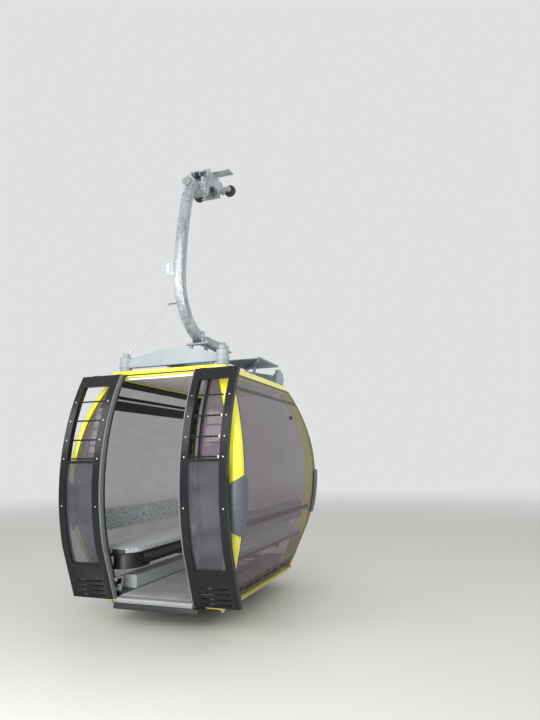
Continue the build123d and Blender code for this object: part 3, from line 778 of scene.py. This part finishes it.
scratched = fine_scratches()
bright_steel = finish_of("bright_steel", scratched, Metal=(0.74, 0.75, 0.76, 1), Stain=(0.4, 0.4, 0.4, 1),
                         Base_Roughness=0.26, Staining=0.25, Metallic=0.85)


def sink(depth):
    bpy.ops.mesh.extrude_region_move(TRANSFORM_OT_translate={"value": (0, 0, -depth)})


def socket_screw(radius, height):
    """A domed screw with a six-sided socket sunk in its head."""
    return worked(round_bar(18, radius, height, (0, 0, height / 2)), top, (draw_in, radius * 0.3),
                  (lift, height * 0.35), (draw_in, radius * 0.25), (sink, height * 0.7))


bar_heights, louvre_height = (1.820, 1.635, 1.455, 1.285), 0.865
screw_spots = [touch(leaves[hand], (turn * place, -2, sill + height), (0, 1, 0))
               for hand, turn in (("right", 1), ("left", -1)) for height in bar_heights + (louvre_height,)
               for place in (leaf_inner + 0.032, leaf_outer - 0.032)]
finished(copies(socket_screw(0.006, 0.0035), screw_spots), "door_screws", bright_steel)

# Tabs on the right leaf's bars: small sleeves moulded in white plastic.
# One is clipped over the outer end of each bar.
tab = worked(slab((0, 0, 0.0015), (0.011, 0.022, 0.003)), every, (round_edges, 0.001))
tab_spots = [touch("right_door_bars", (light_outer - 0.016, -2, sill + height), (0, 1, 0))
             for height in bar_heights]
white_plastic = finish_of("white_plastic", moulded, Body=(0.72, 0.72, 0.70, 1), Scuff=(0.5, 0.5, 0.48, 1),
                          Base_Roughness=0.45, Grain_Depth=0.1)
finished(copies(tab, tab_spots), "door_tabs", white_plastic)

# Emergency lever: a slim handle that stands upright behind the right leaf's bars, drawn in at both ends.
# It is cast aluminium, powder-coated black, and pinned to the door's drive.
def foot(face):
    return face.normal.z < -0.9


lever = slab((0.452, -1.128, sill + 1.60), (0.026, 0.018, 0.40))
for test, *tool in ((every, subdivide, 2), (top, squash, 0.5, 0.6, 1), (foot, squash, 0.5, 0.6, 1),
                    (every, round_edges, 0.004)):
    worked(lever, test, tool)
finished(lever, "door_lever", door_black)


# Bumpers: soft grey pillows that wrap the four corners, with leaning ends and rounded corners.
# Each is moulded in one piece of polyurethane and bolted round its pillar from inside.
bumper_grey = finish_of("bumper_grey", moulded, Body=(0.085, 0.097, 0.116, 1), Scuff=(0.20, 0.215, 0.235, 1),
                        Base_Roughness=0.46, Grain_Depth=0.25)
bumper_low, bumper_high, foot_level, head_level = 0.590, 1.180, 0.635, 1.105
foot_slant, head_slant, arm_reach, round_off = 0.35, 0.36, 0.168, 0.130
pillow = modified(solid_copy("corner_bumpers"), "REMESH", mode="VOXEL", voxel_size=0.0065)
for vertex in pillow.data.vertices:
    turn, side, old = math.copysign(1, vertex.co.x), math.copysign(1, vertex.co.y), vertex.co.z - sill
    past_end, past_side = abs(vertex.co.x) - half_length(old), abs(vertex.co.y) - half_width(old)
    slant = past_end - past_side
    near_rim = min(1, max(0, (abs(slant) - (arm_reach - round_off)) / round_off))
    drawn_in = round_off * (1 - math.sqrt(1 - near_rim ** 2))
    low, high = foot_level - foot_slant * slant + drawn_in, head_level + head_slant * slant - drawn_in
    new = low + (old - bumper_low) / (bumper_high - bumper_low) * (high - low)
    vertex.co = (turn * (half_length(new) + past_end), side * (half_width(new) + past_side), sill + new)
modified(pillow, "SMOOTH", factor=0.5, iterations=10)
finished(pillow, "bumper_pads", bumper_grey, angle=60)
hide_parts("corner_bumpers")


# Floor, threshold and heater boxes: extruded and folded aluminium, left bare. The ribs run in from the doors.
# The heaters stand under the benches, each with a chequered end plate towards the doors.
aluminium = finish_of("aluminium", scratched, Metal=(0.29, 0.30, 0.31, 1), Stain=(0.18, 0.18, 0.18, 1),
                      Stretch=(3.0, 0.15, 1.0), Base_Roughness=0.40, Staining=0.5, Metallic=0.25)


def ribs_lit_and_shaded():
    """Ribbed floor: painted light on the ribs' tops, which are near white, and painted shade in the grooves
    between them, set by height over the grooves.
    """
    t, given, made = effect("ribs lit and shaded", Ribs=(0.6, 0.6, 0.6, 1), Grooves=(0.3, 0.3, 0.3, 1),
                            Groove_Height=0.0)
    where = place_of(t)
    height = step(t, "SeparateXYZ", {0: where}).outputs["Z"]
    over = step(t, "Math", {0: height, 1: given["Groove Height"]}, operation="SUBTRACT").outputs[0]
    colour = blend_colours(t, spread(t, over, 0.0012, 0.0035), given["Grooves"], given["Ribs"])
    shade = lightness(t, colour, spread(t, grain(t, where, 4, 5, 0.6), 0.35, 0.7, 0.75, 1.1))
    scuffs = grain(t, place_of(t, (3, 0.3, 1)), 60, 5, 0.7)
    return give(t, made, shade, spread(t, scuffs, 0.3, 0.7, 0.36, 0.56), relief(t, 0.15, 0.0003, scuffs))


floor_top, rib_height, sill_edge, nose_reach, nose_half, rib_pitch = 0.052, 0.005, 0.9485, 1.100, 0.385, 0.025
# The near-white rib tops are painted light, and the dark grooves are painted shade.
floor_plate = finish_of("floor_plate", ribs_lit_and_shaded(), Ribs=(0.97, 0.97, 0.97, 1),
                        Grooves=(0.11, 0.12, 0.13, 1), Groove_Height=sill + floor_top - rib_height,
                        Metallic=0.15)
coat(floor_plate, "floor")
nose = box_piece((-nose_half, -nose_reach, -0.002), (nose_half, -sill_edge, floor_top - rib_height))
bpy.ops.object.mode_set(mode="EDIT")
edited = bmesh.from_edit_mesh(nose.data)
bpy.ops.mesh.select_mode(type="EDGE")
for edge in edited.edges:
    edge.select_set(all(vertex.co.y < -nose_reach + 0.001 for vertex in edge.verts)
                    and abs(edge.verts[0].co.x - edge.verts[1].co.x) > nose_half)
bmesh.update_edit_mesh(nose.data)
round_edges(0.020, 6)
bpy.ops.object.mode_set(mode="OBJECT")
ribs = [box_piece((rib_pitch * number - 0.004, -1.035, floor_top - rib_height - 0.001),
                  (rib_pitch * number + 0.004, -0.8635, floor_top)) for number in range(-15, 16)]
finished(joined(ribs), "step_ribs", floor_plate, angle=30)
step_plate = finished(nose, "step_nose", aluminium, angle=30)
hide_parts("threshold")
skirt = box_piece((-0.430, -1.082, -0.0575), (0.430, -0.960, -0.0025), 0.012, 3)
finished(skirt, "step_skirt", black_rubber)
kick_grey = finish_of("kick_grey", film, Paint=(0.46, 0.50, 0.49, 1), Worn=(0.7, 0.7, 0.7, 1), Gloss=0.4,
                      Edge_Wear=0.5, Dust=0.3, Metallic=0.15)
coat(kick_grey, "right_heater_box", "left_heater_box")
lozenge = worked(slab((0, 0, 0.0006), (0.016, 0.005, 0.0012)), top, (squash, 0.7, 0.5, 1))
column_pitch, row_pitch, lozenge_margin = 0.0165, 0.0185, 0.012
lozenge_places = []
for hand in ("right", "left"):
    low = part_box(f"{hand}_heater_box")[0] + Vector((lozenge_margin, 0, lozenge_margin))
    for row in range(6):
        for column in range(9):
            spot = low + Vector((column_pitch * column, 0, row_pitch * row))
            lozenge_places.append(Matrix.Translation(spot) @ Matrix.Rotation(math.pi / 2, 4, "X")
                                  @ Matrix.Rotation(math.radians(45 if (row + column) % 2 else -45), 4, "Z"))
finished(repeated(lozenge, lozenge_places), "heater_chequer", bright_steel)


# Benches: black painted steel boards with an apron, bolted to the end walls' pillars, and clear of the floor.
coat(black_paint, "right_backrest_rail", "left_backrest_rail")
bench_front, bench_end, corner_round, apron_wall, apron_straight = 0.310, -0.975, 0.200, 0.006, 0.110
corner_x, corner_y = bench_front + corner_round, bench_end + corner_round


def rounded_corner(turn):
    """A tool that rounds the bench's front corner at its door end, seen from above."""
    corner = box_piece((turn * (bench_front - 0.02), bench_end - 0.02, 0.2), (turn * corner_x, corner_y, 0.6))
    return cut_with(corner, round_bar(96, corner_round, 1, (turn * corner_x, corner_y, sill + 0.4)))


for hand, turn in (("right", 1), ("left", -1)):
    legs = box_piece((turn * 0.2, -1.1, 0.01), (turn * 0.9, 1.1, 0.255))
    bench = cut_with(solid_copy(f"{hand}_bench_frame"), rounded_corner(turn), legs)
    apron = sheet(24, 2)
    bend = corner_round - apron_wall
    for vertex in apron.data.vertices:
        way = 0.420 * (vertex.co.x + 0.5)
        angle = max(0, way - apron_straight) / bend
        vertex.co = (turn * (corner_x - bend * math.cos(angle)),
                     corner_y + max(0, apron_straight - way) - bend * math.sin(angle),
                     sill + 0.260 + 0.116 * (vertex.co.y + 0.5))
    bench = joined([bench, modified(apron, "SOLIDIFY", thickness=0.010, offset=0)])
    bench = finished(bench, f"{hand}_bench", black_paint, angle=30)
    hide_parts(f"{hand}_bench_frame")


# Seats and backrests: foam under grey needle felt, drawn over the board and stapled behind, so that they
# crown a little and their edges roll. Each is blown up inside its board's outline as a cloth cover.
# The left ones mirror the right ones.
def needle_felt():
    """Needle felt: short tangled fibres in several greys, flattened in patches by use."""
    t, given, made = effect("needle felt", Pale_Fibre=(0.5, 0.52, 0.52, 1), Dark_Fibre=(0.12, 0.13, 0.14, 1),
                            Wear=0.3)
    clumps = grain(t, place_of(t), 62, 5, 0.8)
    fibres = grain(t, place_of(t, (1, 2.4, 1.7)), 330, 6, 0.8)
    both = plus(t, times(t, clumps, 0.65), times(t, fibres, 0.35))
    colour = blend_colours(t, spread(t, both, 0.45, 0.56), given["Dark Fibre"], given["Pale Fibre"])
    trodden = times(t, spread(t, grain(t, place_of(t), 3.2, 3), 0.45, 0.75), given["Wear"])
    colour = blend_colours(t, trodden, colour, (0.42, 0.43, 0.42, 1))
    return give(t, made, colour, spread(t, both, 0.3, 0.7, 0.85, 0.98), relief(t, 0.7, 0.0015, both))


felt = finish_of("felt", needle_felt(), Pale_Fibre=(0.64, 0.68, 0.71, 1), Dark_Fibre=(0.16, 0.18, 0.20, 1),
                 Wear=0.25, Sheen_Weight=0.3, Sheen_Roughness=0.6)


def shrink(depth):
    bpy.ops.transform.shrink_fatten(value=-depth)


def pad_over(node, voxel, seated, most):
    """A pad in a CAD pad's space: its shape is shrunk, then blown up as cloth, held where it sits."""
    pad = solid_copy(node)
    if "seat" in node:
        pad = cut_with(pad, rounded_corner(1))
    modified(worked(pad, every, (shrink, 0.003)), "REMESH", mode="VOXEL", voxel_size=voxel)
    before = [vertex.co.copy() for vertex in pad.data.vertices]
    held = [vertex.normal.dot(seated) > 0.4 for vertex in pad.data.vertices]
    cloth = pad.modifiers.new("felt cover", "CLOTH")
    cloth.settings.use_pressure = True
    cloth.settings.uniform_pressure_force = 4
    cloth.settings.effector_weights.gravity = 0
    for number in range(1, 21):
        scene.frame_set(number)
    swollen = pad.evaluated_get(bpy.context.evaluated_depsgraph_get()).to_mesh()
    after = [vertex.co.copy() for vertex in swollen.vertices]
    pad.modifiers.remove(cloth)
    scene.frame_set(1)
    for vertex, old, new, still in zip(pad.data.vertices, before, after, held):
        move = Vector() if still else new - old
        vertex.co = old + move * min(1, most / max(move.length, 1e-6))
    return modified(pad, "SUBSURF", levels=1, render_levels=1)


def to_left():
    bpy.ops.transform.resize(value=(-1, 1, 1), center_override=(0, 0, 0))


for part, voxel, seated, most in (("seat_pad", 0.012, Vector((0, 0, -1)), 0.007),
                                  ("backrest", 0.010, Vector((1, 0, 0)), 0.006)):
    pad = pad_over(f"right_{part}", voxel, seated, most)
    twin = worked(linked("twin", pad.data.copy()), every, (to_left,), (face_out,))
    for piece, hand in ((pad, "right"), (twin, "left")):
        finished(piece, f"{hand}_{part}_felt", felt, angle=60)
        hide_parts(f"{hand}_{part}")

# Seat ends: caps moulded in black plastic, curved both ways.
# They are screwed over the pads' rounded corners at the door end.
caps = []
for turn in (1, -1):
    cap = sheet(16, 6)
    for vertex in cap.data.vertices:
        angle, height = math.radians(78 - 34 * vertex.co.x), 0.410 + 0.052 * vertex.co.y
        reach = corner_round + 0.005 - 0.006 * (abs(2 * vertex.co.y) ** 3) - 0.004 * (abs(2 * vertex.co.x) ** 8)
        vertex.co = (turn * (corner_x - reach * math.cos(angle)), corner_y - reach * math.sin(angle),
                     sill + height)
    caps.append(modified(cap, "SOLIDIFY", thickness=0.006, offset=0))
finished(joined(caps), "seat_end_caps", black_rubber)


# Ceiling: one panel of pale plastic, pushed up inside the roof rail and clipped there.
# An edge strip of the same plastic closes it over the doors.
lining = finish_of("ceiling_lining", film, Paint=(0.93, 0.88, 0.83, 1), Worn=(0.6, 0.58, 0.55, 1), Gloss=0.3,
                   Edge_Wear=0.1, Dust=0.1)
coat(lining, "ceiling_panel")
edge_strip = box_piece((-0.57, -0.945, 2.052), (0.57, -0.928, 2.0745), 0.003)
finished(edge_strip, "ceiling_edge", lining)


# Roof skin, suspension frame and guide wings: welded aluminium, painted pale blue-grey.
# The frame rests on four rubber dampers that stand through the roof, and its clamps hold the hanger's foot.
frame_grey = finish_of("frame_grey", film, Paint=(0.30, 0.345, 0.365, 1), Worn=(0.30, 0.31, 0.32, 1),
                       Gloss=0.34, Edge_Wear=0.5, Dust=0.5)
coat(frame_grey, "roof_dampers", "roof_skin")
damper_x, damper_y, frame_low, girder_half, girder_top = 0.545, 0.830, 2.196, 0.110, 2.312
damper_spots = [(turn * damper_x, side * damper_y) for turn in (-1, 1) for side in (-1, 1)]
keep_out = [box_piece((turn * (girder_half + 0.02), -0.795, 2.18), (turn * 0.70, 0.795, 2.33))
            for turn in (-1, 1)]
frame_parts = [cut_with(solid_copy("suspension_frame"), *keep_out),
               box_piece((-girder_half, -0.82, frame_low), (girder_half, 0.82, girder_top), 0.008)]
for spot in damper_spots:
    tube = round_bar(48, 0.060, 0.142, (*spot, sill + 2.233))
    frame_parts.append(worked(tube, top, (draw_in, 0.008), (sink, 0.01)))
roof_frame = finished(joined(frame_parts), "roof_frame", frame_grey, angle=30)
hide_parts("suspension_frame")

# Guide wings: bent aluminium plates with an upturned lip and a slot, painted with the frame.
# Each stands on a rib and a post that are welded to the girder.
wing_top, wing_plate, wing_near, wing_far, wing_out = 2.380, 0.008, 0.080, 0.750, 0.575
post_x, post_near, post_far, rib_foot = 0.416, 0.364, 0.396, 2.228
wing_parts = []
for turn in (-1, 1):
    plate_piece = box_piece((turn * 0.130, wing_near, wing_top - wing_plate),
                            (turn * wing_out, wing_far, wing_top))
    slot = box_piece((turn * 0.482, 0.270, wing_top - 0.05), (turn * 0.498, 0.370, wing_top + 0.05))
    rib = box_piece((-0.005, -0.385, -0.040), (0.005, 0.385, 0.0), 0.001, base=0)
    rib.matrix_world = (Matrix.Translation((turn * 0.3525, 0.415, sill + wing_top - wing_plate + 0.002))
                        @ Matrix.Rotation(turn * math.atan2(0.445, 0.670), 4, "Z"))
    wing_parts += [
        cut_with(plate_piece, slot), rib,
        box_piece((turn * (wing_out - 0.008), wing_near, wing_top - 0.004),
                  (turn * wing_out, wing_far, wing_top + 0.014), 0.001),
        box_piece((turn * (post_x - 0.032), post_near, rib_foot),
                  (turn * post_x, post_far, wing_top - 0.004), 0.003),
        box_piece((turn * (girder_half - 0.002), post_near, frame_low + 0.002),
                  (turn * post_x, post_far, rib_foot + 0.002), 0.003)]
wings = finished(joined(wing_parts), "roof_wings", frame_grey, angle=30)
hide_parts("guide_wings")


def hex_bolt(size, height):
    """A six-sided bolt head, chamfered, on a thin round washer."""
    washer = round_bar(24, size * 0.72, height * 0.25, (0, 0, height * 0.125))
    head = round_bar(6, size * 0.55, height, (0, 0, height * 0.6))
    return joined([washer, worked(head, top, (draw_in, size * 0.07), (lift, height * 0.12))])


clamp_parts, frame_bolts = [], []
leg_low, leg_high, arm_half, clamp_wall, post_place, bolt_off = 2.525, 2.625, 0.050, 0.012, 0.280, 0.018
for side, lift_up in ((-1, 0.018), (1, 0.0)):
    for turn in (-1, 1):
        near, far = side * post_place - 0.032, side * post_place + 0.032
        clamp_parts.append(box_piece((turn * (arm_half + 0.0005), near, leg_low - 0.002),
                                     (turn * (arm_half + clamp_wall), far, leg_high + lift_up + clamp_wall),
                                     0.002))
        for off in (-bolt_off, bolt_off):
            y = side * post_place + off
            frame_bolts += [((turn * 0.100, y, sill + leg_low), (0, 0, 1)),
                            ((turn * (arm_half + clamp_wall), y, sill + 2.60), (turn, 0, 0))]
frame_bolts += [((turn * x, 0.38, sill + wing_top), (0, 0, 1)) for turn in (-1, 1) for x in (0.36, 0.44)]
finished(joined(clamp_parts), "leg_clamps", frame_grey)
finished(copies(hex_bolt(0.016, 0.010), frame_bolts), "frame_bolts", bright_steel)

# Damper rings: a thick washer of black rubber under each damper's cap.
# It is held by the cap alone.
def both_ends(face):
    return top(face) or foot(face)


finished(joined([worked(round_bar(36, 0.044, 0.014, (*spot, sill + 2.302)), both_ends, (draw_in, 0.004))
                 for spot in damper_spots]), "damper_rings", black_rubber)


# Hanger: a box beam of hot-dip galvanised steel, bent in arcs and welded along its corners.
# Its zinc is streaked and chalky. It carries a forked lug and a bracket for the earthing cable.
def zinc_bloom():
    """Hot-dip zinc: large crystals, chalky bloom and darker runs down the sides."""
    t, given, made = effect("zinc bloom", Bright=(0.62, 0.65, 0.67, 1), Dark=(0.33, 0.35, 0.36, 1), Bloom=0.5)
    crystal = step(t, "TexVoronoi", {"Vector": place_of(t), "Scale": 55.0}).outputs["Color"]
    tone = step(t, "SeparateColor", {0: crystal}).outputs[0]
    cloud = grain(t, place_of(t, (1, 1, 0.35)), 5.5, 6, 0.62)
    runs = grain(t, place_of(t, (14, 14, 1.2)), 1.0, 4)
    mottle = plus(t, times(t, tone, 0.25), times(t, cloud, 0.75))
    colour = blend_colours(t, spread(t, mottle, 0.32, 0.66), given["Dark"], given["Bright"])
    chalk = times(t, spread(t, runs, 0.52, 0.74), given["Bloom"])
    colour = blend_colours(t, chalk, colour, (0.78, 0.79, 0.79, 1))
    rough = plus(t, spread(t, mottle, 0.2, 0.8, 0.36, 0.58), times(t, chalk, 0.2))
    return give(t, made, colour, rough, relief(t, 0.25, 0.0008, cloud, rounded_normal(t, 0.003)))


galvanised = finish_of("galvanised", zinc_bloom(), Bright=(0.47, 0.50, 0.52, 1), Dark=(0.24, 0.26, 0.275, 1),
                       Bloom=0.55, Metallic=0.55)
coat(galvanised, "hanger_arm", "grip_frame", "friction_plate")
lug_y, lug_pin_z, prong_off, prong_half = -0.712, 3.280, 0.017, 0.005
lug_parts = []
for off in (-prong_off, prong_off):
    prong = box_piece((-0.241, lug_y + off - prong_half, lug_pin_z - 0.018),
                      (-0.045, lug_y + off + prong_half, lug_pin_z + 0.018))
    for vertex in prong.data.vertices:
        if vertex.co.x > -0.1:
            vertex.co.z = sill + (3.330 if vertex.co.z > sill + lug_pin_z else 3.140)
    lug_parts.append(prong)
pin = round_bar(20, 0.009, 0.056, (-0.224, lug_y, sill + lug_pin_z), rotation=(math.pi / 2, 0, 0))
lug_parts += [worked(pin, both_ends, (draw_in, 0.002)),
              box_piece((-0.182, -0.655, 2.895), (-0.042, -0.605, 2.905), 0.001)]
finished(joined(lug_parts), "hanger_lug", galvanised)


# Swan necks and corner studs: bent and turned steel, galvanised. A neck from each jamb carries a door's ball,
# and the studs are screwed up into the sill rail's corners.
def round_wire(points, radius, resolution):
    """A round wire with closed ends along a smooth line that its points draw to them."""
    line = bpy.data.curves.new("wire", "CURVE")
    line.dimensions = "3D"
    line.bevel_depth, line.bevel_resolution, line.use_fill_caps = radius, resolution, True
    run = line.splines.new("NURBS")
    run.points.add(len(points) - 1)
    for point, place in zip(run.points, points):
        point.co = (*place, 1)
    run.order_u, run.use_endpoint_u = 3, True
    take(linked("wire", line))
    bpy.ops.object.convert(target="MESH")
    return bpy.context.object


ball_y, ball_z, ball_cut, stud_x, stud_y = -1.066, 0.190, 0.017, 0.578, 0.892
stud_discs = ((0.026, -0.035, -0.043), (0.014, -0.043, -0.050), (0.020, -0.050, -0.058))  # radius, top, foot
neck_line = ((-1.000, 0.100), (-1.035, 0.100), (-1.060, 0.105), (ball_y, 0.135), (ball_y, 0.180))
neck_parts = []
for turn in (-1, 1):
    ball_spot = Vector((turn * ball_x, ball_y, sill + ball_z))

    def flatten(share):
        bpy.ops.transform.resize(value=(1, 1, share), center_override=ball_spot + Vector((0, 0, ball_cut)))

    ball = start_piece(bpy.ops.mesh.primitive_uv_sphere_add, segments=28, ring_count=14, radius=0.024,
                       location=ball_spot)
    bracket = box_piece((turn * ball_x - 0.022, -1.002, 0.078), (turn * ball_x + 0.022, -0.990, 0.122), 0.002)
    neck_parts += [round_wire([(turn * ball_x, y, sill + z) for y, z in neck_line], 0.011, 4), bracket,
                   worked(ball, (lambda face: face.calc_center_median().z > ball_cut), (flatten, 0.2))]
    for side in (-1, 1):
        for radius, high, low in stud_discs:
            disc = round_bar(32, radius, high - low, (turn * stud_x, side * stud_y, sill + (high + low) / 2))
            neck_parts.append(worked(disc, foot, (draw_in, 0.003), (lift, -0.0015)))
finished(joined(neck_parts), "necks_and_studs", galvanised)
hanger_bolts = [touch("hanger_arm", (x, 2, sill + height), (0, -1, 0))
                for x in (-0.028, 0.028) for height in (2.547, 2.603)]
finished(copies(hex_bolt(0.018, 0.011), hanger_bolts), "hanger_bolts", bright_steel)

# Earthing cable: a thin steel wire drawn tight from the hanger's bracket to the damper at the front left.
# A ferrule is crimped on each end of it.
wire_ends = (Vector((-0.165, -0.630, sill + 2.900)), Vector((-0.515, -0.830, sill + 2.345)))
cable_parts = [round_wire([wire_ends[0].lerp(wire_ends[1], share) for share in (0, 0.33, 0.67, 1)], 0.0035, 3)]
for spot, other in (wire_ends, wire_ends[::-1]):
    ferrule = worked(round_bar(16, 0.0075, 0.03), both_ends, (draw_in, 0.003))
    ferrule.matrix_world = stand(spot.lerp(other, 0.02), other - spot)
    cable_parts.append(ferrule)
finished(joined(cable_parts), "earthing_cable", bright_steel)


# Grip: cheeks of cast and plate steel, galvanised and bolted, with ground jaws and stacks of disc springs.
# Its wheels and its roller have rubber tyres.
jaw_steel = finish_of("jaw_steel", scratched, Metal=(0.34, 0.35, 0.36, 1), Stain=(0.12, 0.11, 0.10, 1),
                      Base_Roughness=0.4, Staining=0.6, Metallic=0.8)
coat(jaw_steel, "moving_jaw", "jaw_pin", "swing_pin")
spring_steel = finish_of("spring_steel", scratched, Metal=(0.42, 0.43, 0.45, 1), Stain=(0.16, 0.15, 0.15, 1),
                         Stretch=(1.0, 1.0, 6.0), Base_Roughness=0.3, Staining=0.4, Metallic=0.9)
coat(spring_steel, "spring_stacks")
tyre = finish_of("wheel_tyre", moulded, Body=(0.02, 0.02, 0.02, 1), Scuff=(0.12, 0.12, 0.12, 1),
                 Base_Roughness=0.6, Grain_Depth=0.3)
coat(tyre, "front_running_wheel", "rear_running_wheel", "coupling_roller")
cheek_places = ((-0.41, -0.06), (-0.41, -0.13), (-0.33, -0.13), (-0.24, 0.17), (0.04, 0.09), (0.02, 0.16))
cheek_bolts = [touch("grip_frame", (side * 2, y, z), (-side, 0, 0))
               for side in (-1, 1) for y, z in cheek_places]
finished(copies(hex_bolt(0.020, 0.012), cheek_bolts), "cheek_bolts", bright_steel, body="grip")
plate_bolts = [touch("friction_plate", (side * 0.107, y, 1), (0, 0, -1)) for side in (-1, 1)
               for y in (-0.12, -0.085, -0.05)]
plate_screws = copies(socket_screw(0.009, 0.004), plate_bolts)
finished(plate_screws, "plate_screws", bright_steel, body="grip")


# Underframe: a closed tray of folded aluminium under the floor, painted black.
# It is screwed up to the floor round its rim.
coat(black_paint, "underframe")
tray_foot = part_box("underframe")[0].z
tray_bolts = [((x, y, tray_foot), (0, 0, -1))
              for x in (-0.5, -0.165, 0.165, 0.5) for y in (-0.8, -0.4, 0, 0.4, 0.8)]
finished(copies(hex_bolt(0.014, 0.008), tray_bolts), "tray_bolts", bright_steel)
